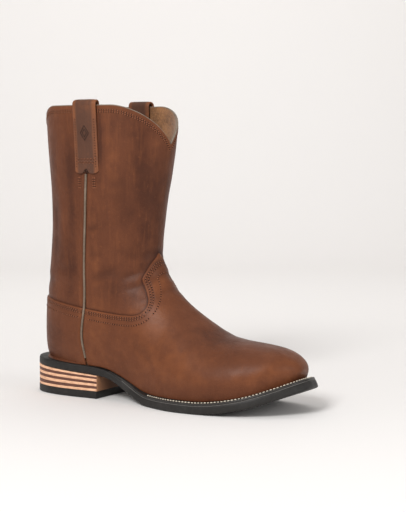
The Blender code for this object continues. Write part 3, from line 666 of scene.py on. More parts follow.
# shaders
class Tree:
    # short calls for the nodes of one tree
    def __init__(self, tree):
        self.tree = tree

    def feed(self, made, inputs):
        for key, value in inputs.items():
            socket = made.inputs[key]
            if isinstance(value, bpy.types.NodeSocket):
                self.tree.links.new(value, socket)
            elif socket.type == "RGBA":
                socket.default_value = (*value, 1)
            else:
                socket.default_value = value

    def node(self, kind, inputs=None, **settings):
        made = self.tree.nodes.new(kind)
        for key, value in settings.items():
            setattr(made, key, value)
        self.feed(made, inputs or {})
        return made.outputs

    def math(self, operation, a, b, clamp=False):
        return self.node("ShaderNodeMath", {0: a, 1: b}, operation=operation, use_clamp=clamp)[0]

    def times(self, a, b):
        return self.math("MULTIPLY", a, b)

    def total(self, a, shareA, b, shareB):
        return self.math("ADD", self.times(a, shareA), self.times(b, shareB))

    def remap(self, value, low, high, to=(0.0, 1.0)):
        return self.node("ShaderNodeMapRange", {
            "Value": value, "From Min": low, "From Max": high, "To Min": to[0], "To Max": to[1]},
            interpolation_type="SMOOTHSTEP")["Result"]

    def blend(self, share, a, b):
        return self.node("ShaderNodeMix", {0: share, 6: a, 7: b}, data_type="RGBA")[2]

    def noise(self, vector, scale, detail=3.0, rough=.55):
        return self.node("ShaderNodeTexNoise", {
            "Vector": vector, "Scale": scale, "Detail": detail, "Roughness": rough})["Fac"]

    def stretched(self, vector, z):
        return self.node("ShaderNodeMapping", {"Vector": vector, "Scale": (1.0, 1.0, z)})[0]

    def bump(self, strength, distance, height, **normal):
        return self.node("ShaderNodeBump", {
            "Strength": strength, "Distance": distance, "Height": height, **normal})[0]

    def use(self, group, inputs):
        return self.node("ShaderNodeGroup", inputs, node_tree=group)


def newGroup(name, inputs, outputs, kind="ShaderNodeTree"):
    group = bpy.data.node_groups.new(name, kind)
    for way, sockets in (("INPUT", inputs), ("OUTPUT", outputs)):
        for key, socket in sockets.items():
            group.interface.new_socket(key, in_out=way, socket_type="NodeSocket" + socket)
    return Tree(group), group.nodes.new("NodeGroupInput").outputs, group.nodes.new("NodeGroupOutput")


def grainGroup():
    # leather pores and fine wrinkles as a height
    t, given, made = newGroup("grain", {"Vector": "Vector", "Size": "Float"}, {"Height": "Float"})
    cells = t.node("ShaderNodeTexVoronoi", {
        "Vector": given["Vector"], "Scale": t.math("DIVIDE", 1.0, given["Size"]), "Smoothness": .6},
        feature="SMOOTH_F1")["Distance"]
    pebble = t.noise(given["Vector"], t.math("DIVIDE", .45, given["Size"]), 4.0)
    t.feed(made, {"Height": t.total(cells, .55, pebble, .6)})
    return t.tree


def toneGroup():
    # pull-up leather: darker and lighter clouds, vertical streaks, light edges; Shade brings in the placed
    # spots with their painted highlight and shade, and the crease field darkens as painted shade in creases,
    # seam grooves, stitch rows and under the vamp's edge
    t, given, made = newGroup("tone", {
        "Vector": "Vector", "Base": "Color", "Dark": "Color", "Light": "Color", "Streak": "Float",
        "Edge": "Float", "Creaseshade": "Float", "Shade": "Float", "Seed": "Float"},
        {"Color": "Color", "Wear": "Float"})
    shift = t.node("ShaderNodeCombineXYZ", {"X": given["Seed"]})[0]
    place = t.node("ShaderNodeVectorMath", {0: given["Vector"], 1: shift}, operation="ADD")[0]
    clouds, patches = t.noise(place, 17.0, 4.0, .58), t.noise(place, 84.0, 5.0, .62)
    specks = t.noise(place, 330.0, 3.0, .6)
    streaks = t.noise(t.stretched(place, .11), 190.0, 4.0, .6)
    # Shade shifts the clouds: spots of tone together with painted highlight and shade
    drift = t.math("SUBTRACT", t.total(clouds, .66, patches, .34), t.times(given["Shade"], .20))
    edge = t.times(given["Edge"], t.remap(patches, .30, .62, (.35, 1.0)))
    colour = given["Base"]
    for value, low, high, share, paint in (
            (drift, .46, .76, .72, "Dark"), (drift, .50, .26, .5, "Light"),
            (streaks, .50, .68, given["Streak"], "Light"), (streaks, .46, .30, given["Streak"], "Dark"),
            (specks, .60, .74, .22, "Light")):
        colour = t.blend(t.times(t.remap(value, low, high), share), colour, given[paint])
    colour = t.blend(t.times(edge, .42), colour, given["Light"])
    # painted shade: darker in creases, seam grooves, stitch rows and under the vamp's edge
    colour = t.blend(t.times(given["Creaseshade"], .62), colour, given["Dark"])
    t.feed(made, {"Color": colour, "Wear": t.total(patches, .7, specks, .3)})
    return t.tree


def dustGroup():
    # lets a finish lighten and roughen a little in patches
    t, given, made = newGroup("dust", {"Vector": "Vector", "Amount": "Float"}, {"Share": "Float"})
    drift = t.noise(given["Vector"], 46.0, 5.0, .65)
    t.feed(made, {"Share": t.times(t.remap(drift, .45, .75), given["Amount"])})
    return t.tree


grain, tone, dust = grainGroup(), toneGroup(), dustGroup()
redBrown = {"base": (.118, .039, .018), "dark": (.050, .017, .010), "light": (.240, .080, .030),
            "streak": .16, "seed": .0, "rough": (.38, .52), "grain": .0011, "bump": .5,
            "specular": .13, "coat": .02}


def startMaterial(name):
    mat = bpy.data.materials.new(name)
    mat.use_nodes = True
    t = Tree(mat.node_tree)
    return mat, t, t.tree.nodes["Principled BSDF"], t.node("ShaderNodeTexCoord")["Object"]


def leatherMaterial(name, **changes):
    look = {**redBrown, **changes}
    mat, t, shader, place = startMaterial(name)
    inputs = {key.title(): look[key] for key in ("base", "dark", "light", "streak", "seed")}
    for key in ("edge", "creaseShade", "shade"):
        inputs[key.title()] = t.node("ShaderNodeAttribute", attribute_name=key)["Fac"]
    shade = t.use(tone, {"Vector": place, **inputs})
    pores = t.use(grain, {"Vector": place, "Size": look["grain"]})["Height"]
    t.feed(shader, {
        "Base Color": shade["Color"], "Roughness": t.remap(shade["Wear"], .3, .7, look["rough"]),
        "Normal": t.bump(.35, .0012, t.noise(place, 70.0), Normal=t.bump(look["bump"], .0004, pores)),
        "Specular IOR Level": look["specular"], "Coat Weight": look["coat"], "Coat Roughness": .42})
    return mat


def suedeMaterial(name, base, dark):
    mat, t, shader, place = startMaterial(name)
    mix = t.total(t.noise(place, 36.0, 4.0), .6, t.noise(place, 500.0), .4)
    t.feed(shader, {
        "Base Color": t.blend(t.remap(mix, .38, .62), dark, base), "Roughness": .95,
        "Normal": t.bump(.5, .0005, t.noise(place, 1500.0)), "Sheen Weight": .35,
        "Sheen Roughness": .5, "Specular IOR Level": .2})
    return mat


def plainMaterial(name, colour, roughness, varied=.0, size=200.0, bump=.0, coat=.0):
    mat, t, shader, place = startMaterial(name)
    t.feed(shader, {"Base Color": colour, "Roughness": roughness, "Coat Weight": coat,
                    "Specular IOR Level": .3})
    if varied:
        share = t.use(dust, {"Vector": place, "Amount": varied})["Share"]
        fleck = t.times(t.remap(t.noise(place, size, 4.0), .42, .66), varied)
        paler = tuple(min(c * 1.9 + .02, 1) for c in colour)
        toned = t.blend(fleck, colour, tuple(c * .55 for c in colour))
        t.feed(shader, {"Base Color": t.blend(share, toned, paler), "Roughness": t.remap(
            fleck, 0.0, 1.0, (roughness, min(roughness + .2, 1)))})
    if bump:
        t.feed(shader, {"Normal": t.bump(bump, .0003, t.noise(place, size * 4))})
    return mat


def liftMaterial(name, colour, darker):
    # trimmed leather edge: fibres run along the layer
    mat, t, shader, place = startMaterial(name)
    fibre = t.noise(t.stretched(place, 9.0), 120.0, 5.0, .65)
    t.feed(shader, {"Base Color": t.blend(t.remap(fibre, .40, .68), colour, darker),
                    "Normal": t.bump(.4, .0003, fibre), "Roughness": .55})
    return mat


def shadedBreastMaterial(name, corner, inner):
    # front of the heel: tan at the lateral corner, with painted shade turning it brown further in across the
    # breast
    mat, t, shader, place = startMaterial(name)
    across = t.remap(t.node("ShaderNodeSeparateXYZ", {0: place})["Y"], -.033, -.006)
    share = t.math("ADD", across, t.times(t.noise(place, 90.0, 4.0), .3), True)
    t.feed(shader, {"Base Color": t.blend(share, corner, inner), "Roughness": .6})
    return mat


shaftLeather = leatherMaterial("shaftLeather")
vampLeather = leatherMaterial("vampLeather", base=(.126, .041, .018), streak=.05, seed=.31, coat=.05)
strapLeather = leatherMaterial("strapLeather", base=(.098, .045, .029), dark=(.058, .026, .017),
                               light=(.25, .088, .036), streak=.08, seed=.62)
liningSuede = suedeMaterial("liningSuede", (.36, .165, .064), (.18, .080, .030))
footbedSuede = suedeMaterial("footbedSuede", (.40, .25, .14), (.28, .16, .085))
cordLeather = plainMaterial("cordLeather", (.17, .125, .09), .6, .5, 400.0, .4)
bindingLeather = plainMaterial("bindingLeather", (.21, .16, .12), .6, .5, 400.0, .4)
brownThread = plainMaterial("brownThread", (.25, .088, .040), .7)
# near-black blobs in the needle holes: painted shade
holeShade = plainMaterial("holeShade", (.020, .007, .004), .9)
tanThread = plainMaterial("tanThread", (.33, .17, .09), .7)
creamThread = plainMaterial("creamThread", (.72, .64, .52), .75)
toolMark = plainMaterial("toolMark", (.030, .012, .007), .7)
blackRubber = plainMaterial("blackRubber", (.018, .016, .0145), .52, .35, 160.0, .3)
blackWelt = plainMaterial("blackWelt", (.026, .023, .021), .42, .3, 220.0, .3, .15)
# pale grey line: painted highlight on the outsole's top corner along the welt
weltEdgeHighlight = plainMaterial("weltEdgeHighlight", (.16, .15, .14), .6)
# dark brown bead: painted shadow where the upper meets the welt
edgeShadow = plainMaterial("lastedEdgeShadow", (.035, .018, .012), .7, .3, 300.0)
tanLift = liftMaterial("tanLift", (.90, .53, .33), (.60, .31, .18))
darkLift = liftMaterial("darkLift", (.13, .045, .026), (.075, .028, .018))
breastLeather = shadedBreastMaterial("breastLeather", (.36, .17, .085), (.17, .07, .03))
print("materials ready")


# stitches: small threads set on points that carry their direction, by Geometry Nodes
def stitchTree():
    t, given, made = newGroup("stitches", {
        "Geometry": "Geometry", "Length": "Float", "Width": "Float", "Height": "Float",
        "Thread": "Material"}, {"Geometry": "Geometry"}, "GeometryNodeTree")
    ball = t.node("GeometryNodeMeshUVSphere", {"Segments": 8, "Rings": 5, "Radius": .5})["Mesh"]
    size = t.node("ShaderNodeCombineXYZ", {
        "X": given["Length"], "Y": given["Width"], "Z": given["Height"]})[0]
    shaped = t.node("GeometryNodeTransform", {"Geometry": ball, "Scale": size})["Geometry"]
    held = {name: t.node("GeometryNodeInputNamedAttribute", {"Name": name},
                         data_type="FLOAT_VECTOR")["Attribute"] for name in ("along", "away")}
    first = t.node("FunctionNodeAlignRotationToVector", {"Vector": held["along"]}, axis="X")[0]
    turned = t.node("FunctionNodeAlignRotationToVector", {"Rotation": first, "Vector": held["away"]},
                    axis="Z", pivot_axis="X")[0]
    vary = t.node("FunctionNodeRandomValue", {2: .86, 3: 1.1, 8: 7}, data_type="FLOAT")[1]
    threads = t.node("GeometryNodeInstanceOnPoints", {
        "Points": given["Geometry"], "Instance": shaped, "Rotation": turned, "Scale": vary})[0]
    real = t.node("GeometryNodeRealizeInstances", {"Geometry": threads})[0]
    coloured = t.node("GeometryNodeSetMaterial", {"Geometry": real, "Material": given["Thread"]})[0]
    t.feed(made, {"Geometry": t.node("GeometryNodeSetShadeSmooth", {"Geometry": coloured})[0]})
    return t.tree


threadTree = stitchTree()


def stitches(name, lines, size, thread, slot):
    # lines of (point, away) rows, one row for each stitch; size is length, width, height in mm
    lines = [line for line in lines if len(line) > 1]
    places = np.concatenate([line[:, :3] for line in lines])
    mesh = bpy.data.meshes.new(name)
    mesh.from_pydata(((places - heelBack) * mm).tolist(), [], [])
    for key, ways in (("along", [np.gradient(line[:, :3], axis=0) for line in lines]),
                      ("away", [line[:, 3:6] for line in lines])):
        ways = unit(np.concatenate(ways)).ravel()
        mesh.attributes.new(key, "FLOAT_VECTOR", "POINT").data.foreach_set("vector", ways)
    holder = addObject(name + "Points", mesh)
    modifier = holder.modifiers.new("stitches", "NODES")
    modifier.node_group = threadTree
    values = {"Thread": thread, **dict(zip(("Length", "Width", "Height"), (v * mm for v in size)))}
    for item in threadTree.interface.items_tree:
        if item.name in values:
            modifier[item.identifier] = values[item.name]
    seen = holder.evaluated_get(bpy.context.evaluated_depsgraph_get())
    obj = addObject(name, bpy.data.meshes.new_from_object(seen))
    bpy.data.objects.remove(holder)
    return dress(obj, slot)


def sew(name, rows, size, slot, hole, thread=brownThread):
    # a row of threads, and near-black blobs of painted shade in the needle holes half way between them
    stitches(name + "Stitches", rows, size, thread, slot)
    if hole:
        middles = [raised((line[1:] + line[:-1]) / 2, -.12) for line in rows if len(line) > 2]
        stitches(name + "Holes", middles, hole, holeShade, slot)


def raised(line, height):
    line = np.array(line)
    line[:, :3] += line[:, 3:6] * height
    return line


def threadRows(data, faces, column, levels, pitch, *masks):
    # stitch places along the lines of these levels, each level with its lift, broken at jumps
    rows = []
    for level, height in levels.items():
        for line in contour(data, faces, column, level):
            for mask in masks:
                part = line[mask(line)]
                steps = np.linalg.norm(np.diff(part[:, :3], axis=0), axis=1)
                runs = np.split(part, np.where(steps > 8)[0] + 1)
                rows += [raised(spaced(run, pitch), height) for run in runs if len(run) > 12]
    return rows


def wallAt(x, z, side):
    # points of the upper's plain surface seen from the side at (x, z), and their way out
    found = surfaceAt(x, z, side)
    return [make(found[:, 0], side, found[:, 1]) for make in (upperSurface, outward)]


# the upper
skinCut = {"across": 130, "rows": 290, "shaftIn": 1.2, "underlap": 9.0, "vampThick": 1.3,
           "vampIn": .9, "seamHalf": 1.75, "seamTurn": .9, "grooveTop": 226}
rimColumn, coverColumn, aheadColumn, deepColumn = 6, 7, 8, 9
data, faces = upperPatch(skinCut["across"], skinCut["rows"])
print("upper patch", len(data), "points")
cover = sideDistance(data[:, :3], vampPolygon())
ahead = data[:, 0] - seamX(data[:, 2])
lateral = data[:, 1] < 0
lift, deep = np.zeros(len(data)), np.zeros(len(data))
for side, here in ((-1, lateral), (1, ~lateral)):
    lift[here], deep[here] = reliefOf(data[here, :3], side)
calm = smoothStep(2, 14, data[:, 2] - bottom(data[:, 0]) - 8) * smoothStep(0, 10, data[:, rimColumn])
data[:, :3] += data[:, 3:6] * (lift * calm)[:, None]
data = np.column_stack([data, cover, ahead, deep * calm])
print("creases laid")


def flipped(data, column):
    return data * np.where(np.arange(data.shape[1]) == column, -1, 1)


def edgeWear(data):
    nearSeam = hump(data[:, aheadColumn], 3.5) * (data[:, 2] < skinCut["grooveTop"])
    return clamped(nearSeam * .8 + hump(data[:, rimColumn], 6) * .8)


shaftData, shaftFaces, _, _ = splitPatch(flipped(data, coverColumn), faces, coverColumn,
                                         -skinCut["underlap"])
# step runs along the vamp's edge on the shaft: the shaft sinks there and lightens a little, and the crease
# field paints the shadow under the vamp; groove paints shade in the side seam's groove
step = hump(np.maximum(shaftData[:, coverColumn], 0), 2.6)
groove = hump(shaftData[:, aheadColumn], 1.9) * (shaftData[:, 2] < skinCut["grooveTop"])
# shade: spots of tone with painted highlight and shade; crease: painted shade in creases, the seam's groove
# and under the vamp's edge
fields = {"edge": clamped(edgeWear(shaftData) + .4 * step), "shade": toneAndLightOf(shaftData),
          "creaseShade": clamped(shaftData[:, deepColumn] + .9 * step**2 + 1.3 * groove) + .6 * step**8}
shaft = skin("shaftPanels", shaftData, shaftFaces, -.25 * step, skinCut["shaftIn"], shaftLeather, fields)
dress(shaft, "shaft_leather", "upper")


def overlay(name, sign, cadNode):
    # vamp or counter: cut from the same skin, its edge rolled over and its seam side turned in
    part, kept, _, _ = splitPatch(data, faces, coverColumn, 0.0)
    if sign < 0:
        part = flipped(part, aheadColumn)
    inner = skinCut["seamHalf"] - skinCut["seamTurn"]
    part, kept, _, _ = splitPatch(part, kept, aheadColumn, inner)
    for column, level in ((coverColumn, .35), (coverColumn, .95), (aheadColumn, skinCut["seamHalf"])):
        part, above, below, _ = splitPatch(part, kept, column, level)
        kept = above + below
    fromEdge = part[:, coverColumn]
    edge = clamped(fromEdge / .95)
    seam = clamped((part[:, aheadColumn] - inner) / skinCut["seamTurn"])
    roll = np.sqrt(clamped(1 - (1 - edge)**2)) * np.sqrt(clamped(1 - (1 - seam)**2))
    rows = hump(fromEdge - 2.4, .7) + hump(fromEdge - 4.4, .7)
    height = .1 + skinCut["vampThick"] * roll - .22 * rows
    # crease: painted shade in creases, along the stitch rows and where the seam side turns in; shade: spots
    # of tone with painted highlight and shade
    fields = {"edge": clamped(edgeWear(part) * .7 + .75 * hump(fromEdge - .6, 2.2)),
              "shade": toneAndLightOf(part), "creaseShade": clamped(part[:, deepColumn] + .9 * rows + 1 - seam)}
    dress(skin(name, part, kept, height, skinCut["vampIn"], vampLeather, fields), "vamp_leather", cadNode)


overlay("vampPanel", 1, "vamp")
overlay("counterPanel", -1, "counter")
print("vamp and counter cut")

# rows of stitching parallel to the edge of vamp and counter, and below the binding
masks = [lambda line, way=way, side=side: (line[:, aheadColumn] * way > 3.2) & (line[:, 1] * side > 0)
         for way in (1, -1) for side in (-1, 1)]
nearCollar = [lambda line: line[:, 2] > 200]
levels = {level: skinCut["vampThick"] + height for level, height in ((2.4, .05), (4.4, .05), (9.6, .22))}
sew("vamp", threadRows(data, faces, coverColumn, levels, 2.7, *masks), (2.1, .8, .7), "vamp_leather",
    (1.3, 1.6, .75))
sew("collar", threadRows(data, faces, rimColumn, {4.2: .12, 6.2: .12}, 2.5, *nearCollar),
    (2.0, .85, .7), "shaft_leather", (1.25, 1.45, .75))
print("upper stitched")

liningData, liningFaces = upperPatch(60, 130)
lining = shell("lining", liningData, liningFaces, -boot["wall"], -skinCut["shaftIn"] - .05, liningSuede)
dress(lining, "insole_leather", "upper")
levels = dict.fromkeys((5.5, 12.0), -boot["wall"] - .1)
sew("lining", threadRows(liningData, liningFaces, rimColumn, levels, 2.6, *nearCollar), (1.9, .6, .5),
    "insole_leather", None, tanThread)

# side seam cords and the bound collar
cord = {"radius": 1.15, "low": 39.5, "high": 219.0, "onVamp": .5}
for side, name in ((-1.0, "side_piping_lateral"), (1.0, "side_piping_medial")):
    height = np.linspace(cord["low"], cord["high"], 60)
    wall, away = wallAt(seamX(height), height, side)
    onVamp = cord["onVamp"] * smoothStep(-1, 1, sideDistance(wall, vampPolygon()))
    path = wall + away * (reliefOf(wall, side)[0] + cord["radius"] + onVamp)[:, None]
    dress(tube(name + "Cord", path, cord["radius"], cordLeather, away, 14), "piping", name)

binding = {"outer": 1.1, "drop": 1.5, "crown": .55, "lift": .3, "sides": 18}
shares = np.linspace(0, 1, 121)
half = upperSurface(collarStation(shares), -1.0, shares)
away = outward(collarStation(shares), -1.0, shares)
away[0], away[-1] = [-1, 0, 0], [1, 0, 0]
ring, away = (np.concatenate([v, (v * [1, -1, 1])[-2:0:-1]]) for v in (half, away))
level = unit(away * [1, 1, 0])
middle = ring - level * boot["wall"] / 2
upright = np.array([0, 0, 1.0])
rings = []
for turn in np.linspace(0, 2 * pi, binding["sides"], endpoint=False):
    out, high = np.cos(turn), np.sin(turn)
    rise = binding["crown" if high > 0 else "drop"] * high + binding["lift"]
    rings.append(middle + level * binding["outer"] * np.sign(out) * abs(out)**.7 + upright * rise)
dress(loft("collarBinding", np.stack(rings, 1), bindingLeather, closed=True), "piping", "collar_binding")
print("cords ready")

# pull straps, in mm: fade is the height over which the notch of the lower end runs out
strap = {"x": 87.6, "lean": .6, "footZ": 219.5, "innerFootZ": 234.0, "width": 25.8, "thick": 2.2,
         "rise": 2.8, "gap": .12, "notch": 5.0, "notchWidth": 2.6, "lobe": 2.6, "fade": 14,
         "sewnAt": 10.5, "stampZ": 258}


def strapProfile():
    # heights and distances from the wall, up the outer face, over the collar and down inside
    top = collar["height"] + 3.2 + strap["rise"]
    out, inn = strap["gap"] + strap["thick"] / 2, -boot["wall"] - .4 - strap["thick"] / 2
    middle, radius = (out + inn) / 2, (out - inn) / 2 + 1.3
    crown = top - radius - strap["thick"] / 2
    outer = [(z, out + flare) for z, flare in (
        (strap["footZ"], 0), (226, 0), (236, 0), (244, 0), (253, .1), (262, .3), (270, .6), (276, .9))]
    arch = [(crown + radius * np.sin(a), middle + radius * np.cos(a)) for a in np.linspace(0, pi, 17)]
    inner = [(z, inn - flare) for z, flare in ((276, .9), (262, .3), (248, 0), (strap["innerFootZ"], 0))]
    return np.array(outer + arch + inner)


def strapMiddle(side, profile, across):
    # middle of the strap, one row for each profile point, and its way out to the outer face
    height, stand = profile[:, 0], profile[:, 1, None, None]
    climb, off = np.moveaxis(unit(np.gradient(profile, axis=0))[:, :, None, None], 1, 0)
    lean = strap["lean"] * (np.minimum(height, 290) - strap["footZ"]) / (collar["height"] - strap["footZ"])
    heights = np.minimum(height, collar["height"] - 1)[:, None] + 0 * across
    walls, lifts = (v.reshape(len(profile), len(across), 3)
                    for v in wallAt(strap["x"] - lean[:, None] + across, heights, side))
    lifts = unit(lifts * [1, 1, 0])
    fromMiddle = np.abs(across) / (strap["width"] / 2)
    half = strap["thick"] / 2 * (.25 + .75 * np.sqrt(clamped(1 - fromMiddle**8)))
    cut = strap["notch"] * hump(across, strap["notchWidth"]) + strap["lobe"] * fromMiddle**6
    low = clamped(1 - (height - strap["footZ"]) / strap["fade"])**2 * (np.arange(len(profile)) < 4)
    walls[:, :, 2] = height[:, None] + cut * low[:, None]
    away = lifts * climb - upright * off
    return walls + lifts * stand, away, away * half[:, None]


profile = strapProfile()
acrossStrap = strap["width"] / 2 * np.sin(np.linspace(-pi / 2, pi / 2, 31))
groove = hump(np.abs(acrossStrap) - strap["sewnAt"], .7)
rubbed = 1.7 * smoothStep(7.5, strap["sewnAt"], np.abs(acrossStrap))
strapRows = []
for side, name in ((-1.0, "pull_strap_lateral"), (1.0, "pull_strap_medial")):
    middle, away, half = strapMiddle(side, profile, acrossStrap)
    outerAway = unit(away)
    outerFace = middle + half - outerAway * (.18 * groove)[None, :, None]
    rings = np.concatenate([outerFace, (middle - half)[:, ::-1]], 1)
    leather = dress(loft(name + "Leather", rings, strapLeather, 50), "strap_leather", name)
    worn = np.tile(np.concatenate([rubbed, rubbed[::-1]]), len(rings))
    leather.data.attributes.new("edge", "FLOAT", "POINT").data.foreach_set("value", worn)
    face = np.concatenate([outerFace, outerAway], -1)

    def at(u, z, lift=.1):
        # point of the outer face this far across and this high
        column = np.array([[np.interp(u, acrossStrap, face[r, :, k]) for k in range(6)] for r in range(8)])
        point = np.array([np.interp(z, column[:, 2], column[:, k]) for k in range(6)])
        point[:3] += unit(point[3:6]) * lift
        return point

    for u in (-strap["sewnAt"], strap["sewnAt"]):
        strapRows.append(spaced(np.array([at(u, z) for z in np.linspace(223.5, 275, 30)]), 2.5))
    for z in (229.5, 232.5):
        zigzag = enumerate(np.linspace(-9.5, 9.5, 12))
        strapRows.append(np.array([at(u, z + .9 * (k % 2)) for k, u in zigzag]))
    for u in (-9.6, 7.2):
        for shift in (-.9, .9):       # thread tails on the shaft below the strap
            wall, away = wallAt(strap["x"] + u + shift, np.linspace(205, 218.5, 7), side)
            stands = reliefOf(wall, side)[0][:, None] + .15
            strapRows.append(spaced(np.column_stack([wall + away * stands, away]), 2.3))
    for size in (5.6, 3.0):
        ring = np.array([at(size * .8 * np.cos(a), strap["stampZ"] + size * 1.25 * np.sin(a), .0)
                         for a in np.linspace(0, 2 * pi, 5)[:4]])
        fine = np.concatenate([np.linspace(ring[k], ring[(k + 1) % 4], 8, endpoint=False) for k in range(4)])
        dress(tube("lozenge", fine[:, :3], .42, toolMark, fine[:, 3:6], 8, closed=True), "strap_leather")
sew("strap", strapRows, (2.0, .9, .7), "strap_leather", (1.3, 1.5, .75))
print("straps ready")


# the sole: a closed band round the outline, joined across by strips from side to side
around = 360
edgeProfile = [(6, 0), (1.3, 0), (.55, .035), (.12, .12), (0, .3), (0, .72), (.1, .86), (.45, .97),
               (1.0, 1), (6, 1)]
wide = len(edgeProfile)
edge = []
for t in 2 * pi * np.arange(around) / around:
    for inset, share in edgeProfile:
        x, y = outline(t, inset)
        edge.append(aboveSole(x, y, outsoleThick(x) * share))
faceList = []
for k in range(around):
    ahead = (k + 1) % around
    faceList += [(k * wide + c, ahead * wide + c, ahead * wide + c + 1, k * wide + c + 1)
                 for c in range(wide - 1)]
for k in range(around // 2):
    corners = dict.fromkeys([k, k + 1, around - k - 1, (around - k) % around])
    faceList += [tuple(corner * wide + c for corner in corners) for c in (0, wide - 1)]
outsole = turnedOut(addMesh("outsoleBody", edge, faceList, blackRubber, 40))
dress(outsole, "black_rubber", "outsole")


def turnAt(x):                     # where the outline passes x on the lateral side
    return np.arccos(1 - 2 * x / boot["length"])


def weltPoint(t, inset, share, lift=0.0):
    # point of the welt this far inside the outline and at this share of its thickness
    x, y = outline(t, inset)
    thick = np.clip(weltRise(x) - boot["gap"], .5, boot["weltThick"] + .15)
    return aboveSole(x, y, outsoleThick(x) + .04 + thick * share + lift)


weltTurns = np.linspace(turnAt(boot["weltStart"]), 2 * pi - turnAt(boot["weltStart"]), 230)
weltProfile = [(.95, 0), (.65, .10), (.45, .26), (.45, .60), (.62, .76), (1.0, .86), (1.7, .92),
               (2.2, .90), (2.7, .86), (3.2, .92), (3.8, 1.0)]
rings = []
for t in weltTurns:
    room, under = ledge(t) + 1.0, ledge(t) + 2.4
    ring = [weltPoint(t, min(inset, room), share) for inset, share in weltProfile]
    rings.append([weltPoint(t, under, 0), *ring, weltPoint(t, under, 1.05)])
dress(loft("weltStrip", rings, blackWelt, 40), "welt_leather", "welt")
# pale line at the welt's foot: painted highlight on the outsole's top corner
edgeHighlight = np.array([weltPoint(t, .42, 0, .01) for t in weltTurns[6:-6]])
dress(tube("weltEdgeHighlightLine", edgeHighlight, .22, weltEdgeHighlight, upright, 6), "welt_leather")

line = []
for t in weltTurns[20:-20]:
    inset = min(2.6, ledge(t) - 1.4)
    slope = soleSlope(outline(t, inset)[0])
    line.append([*weltPoint(t, inset, .93, .22), -slope, 0, 1])
stitches("weltStitches", [spaced(np.array(line), 3.35)], (2.4, 1.25, 1.1), creamThread, "welt_leather")
print("outsole and welt ready")

# dark bead that paints the shadow where the upper is lasted over the welt
shadowBead = {"radius": .85, "drop": .25}
shadowBeadPath = featherLine(np.linspace(.02, 2 * pi - .02, 300)) - upright * shadowBead["drop"]
dress(tube("lastedEdgeShadow", shadowBeadPath, shadowBead["radius"], edgeShadow, upright, 8, closed=True), "welt_leather")

# stacked heel: each lift a thin layer with softly rounded edges, thick at the breast and the back
lifts = {"tan_1": (2.5, 2.5), "dark_1": (2.4, 3.3), "tan_2": (2.5, 3.1), "dark_2": (2.1, 3.0),
         "tan_3": (2.7, 2.7), "dark_3": (1.9, 3.0), "tan_4": (.9, 2.6)}
layerProfile = [(.35, 0), (.08, .06), (0, .2), (0, .8), (.08, .94), (.35, 1)]
capProfile = [(1.0, 0), (.3, .03), (0, .12), (0, .93), (.12, .985), (.4, 1)]
heelEnd = turnAt(boot["breast"])
heelTurns = np.concatenate([np.linspace(.012, .3, 14)[:-1], np.linspace(.3, heelEnd, 34)])
heelTurns = np.concatenate([heelTurns, 2 * pi - heelTurns[::-1]])


def heelLayer(name, low, high, profile, material, slot, cadNode, inset=.0):
    # low and high are (at the breast, at the back)
    rings = []
    for away, share in profile:
        x, y = outline(heelTurns, away + inset)
        x = np.minimum(x, boot["breast"] - away)
        below, above = (z[1] + (z[0] - z[1]) * x / boot["breast"] for z in (low, high))
        rings.append(np.column_stack([x, y, below + (above - below) * share]))
    dress(loft(name, rings, material, 35), slot, cadNode)


low = np.array([boot["capThick"]] * 2)
heelLayer("heelCap", (0, 0), low + .05, capProfile, blackRubber, "black_rubber", "heel_cap")
for name, thick in lifts.items():
    high = low + thick + (.35 if name == "tan_4" else 0)
    kind = name.split("_")[0]
    heelLayer("lift" + name.title().replace("_", ""), low, high, layerProfile,
              tanLift if kind == "tan" else darkLift, kind + "_lift", "heel_lift_" + name, .2)
    low = high
# leather flap on the front of the heel
lateralY, medialY = (float(outline(t, .5)[1]) for t in (heelEnd, 2 * pi - heelEnd))
rings = []
for away, inset in ((-.4, 0), (.35, 0), (.6, .3)):
    across = np.linspace(lateralY + inset, medialY - inset, 16)
    x = boot["breast"] + away
    rings.append([(x, y, boot["capThick"] + .1 + inset * .5) for y in across]
                 + [(x, y, low[0] + .1 - inset * .5) for y in across[::-1]])
dress(loft("heelBreast", rings, breastLeather, 50), "tan_lift")
print("heel ready")

# footbed: suede sock with a shallow heel cup, uneven by a little where it is trodden
rings = []
for t in np.linspace(.10, pi - .10, 90):
    (lx, ly), (rx, ry) = (outline(turn, ledge(turn) + 3.4) for turn in (t, 2 * pi - t))
    share = np.linspace(0, 1, 25)
    x, y = lx + (rx - lx) * share, ly + (ry - ly) * share
    fromMiddle = (2 * share - 1)**2
    dish = .9 * fromMiddle + .25 * np.sin(x * .21 + y * .13) * (1 - fromMiddle)
    ring = aboveSole(x, y, outsoleThick(x) + 3.0 + dish)
    under = [aboveSole(p[0], p[1], outsoleThick(p[0]) + .5) for p in (ring[-1], ring[0])]
    rings.append(np.concatenate([ring, under]))
dress(loft("footbed", rings, footbedSuede), "insole_leather", "insole")

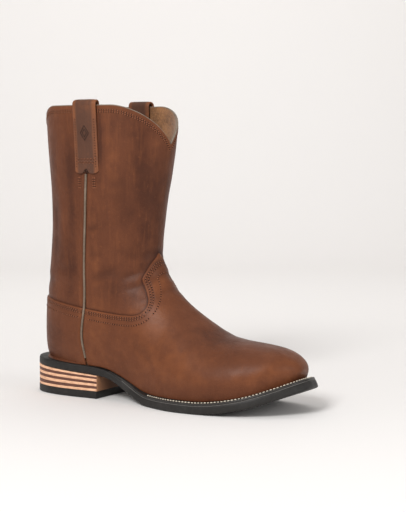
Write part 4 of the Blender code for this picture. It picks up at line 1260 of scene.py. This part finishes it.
# camera: target in mm, lens in pixels of a picture this high
view = {"target": (152.0, 0.0, 150.0), "distance": 1400.0, "turn": 31.6, "rise": 4.4,
        "lens": 1455.0, "height": 512, "sensor": 36, "right": 31.4, "up": -9.9}
turn, rise = radians(view["turn"]), radians(view["rise"])
rightWay, backWay = np.array([np.cos(turn), np.sin(turn), 0]), np.array([-np.sin(turn), np.cos(turn), 0])
forward = backWay * np.cos(rise) - upright * np.sin(rise)
upWay = np.cross(rightWay, forward)
cameraPlace = view["target"] - forward * view["distance"] + rightWay * view["right"] + upWay * view["up"]
camera = addObject("camera", bpy.data.cameras.new("camera"))
camera.data.sensor_fit = "VERTICAL"
camera.data.sensor_height = view["sensor"]
camera.data.lens = view["sensor"] * view["lens"] / view["height"]
camera.location = Vector((cameraPlace - heelBack) * mm)
camera.rotation_euler = Vector(-forward).to_track_quat("Z", "Y").to_euler()
bpy.context.scene.camera = camera

# pale studio sweep: back from the boot and up, in mm
bend = {"start": 1500, "radius": 700}
sweepLine = [(bend["start"] + bend["radius"] * np.sin(a), bend["radius"] * (1 - np.cos(a)))
             for a in np.linspace(.1, pi / 2, 12)]
sweep = []
for back, up in [(-3500, 0), (bend["start"], 0), *sweepLine, (2200, 4200)]:
    middle = heelBack + backWay * back + upright * up
    sweep += [middle - rightWay * 5000, middle + rightWay * 5000]
strips = [(k, k + 1, k + 3, k + 2) for k in range(0, len(sweep) - 2, 2)]
addMesh("floor", sweep, strips, plainMaterial("paleFloor", (.88, .857, .84), .95), 80)

# places are right, back and up from the boot, seen from the camera, in metres
lights = {
    "key": {"place": (-.85, -1.75, 1.55), "aim": (0, 0, .13), "size": .8, "power": 43},
    "side": {"place": (1.1, -.75, .55), "aim": (0, 0, .13), "size": .5, "power": 4},
    "top": {"place": (.1, .1, 1.7), "aim": (0, 0, .13), "size": 1.3, "power": 3.2},
    "back": {"place": (0, .9, 1.6), "aim": (0, 2.4, .7), "size": 1.6, "power": 9.4},
}
for name, light in lights.items():
    lamp = addObject(name, bpy.data.lights.new(name, "AREA"))
    lamp.data.size, lamp.data.energy = light["size"], light["power"]
    here, there = (Vector(rightWay * right + backWay * back + upright * up)
                   for right, back, up in (light["place"], light["aim"]))
    lamp.location = here
    lamp.rotation_euler = (there - here).to_track_quat("-Z", "Y").to_euler()
world = bpy.data.worlds.new("studio")
world.use_nodes = True
world.node_tree.nodes["Background"].inputs["Color"].default_value = (1, .985, .97, 1)
world.node_tree.nodes["Background"].inputs["Strength"].default_value = .42
bpy.context.scene.world = world
bpy.context.scene.view_settings.view_transform = "Standard"
print("stage ready")
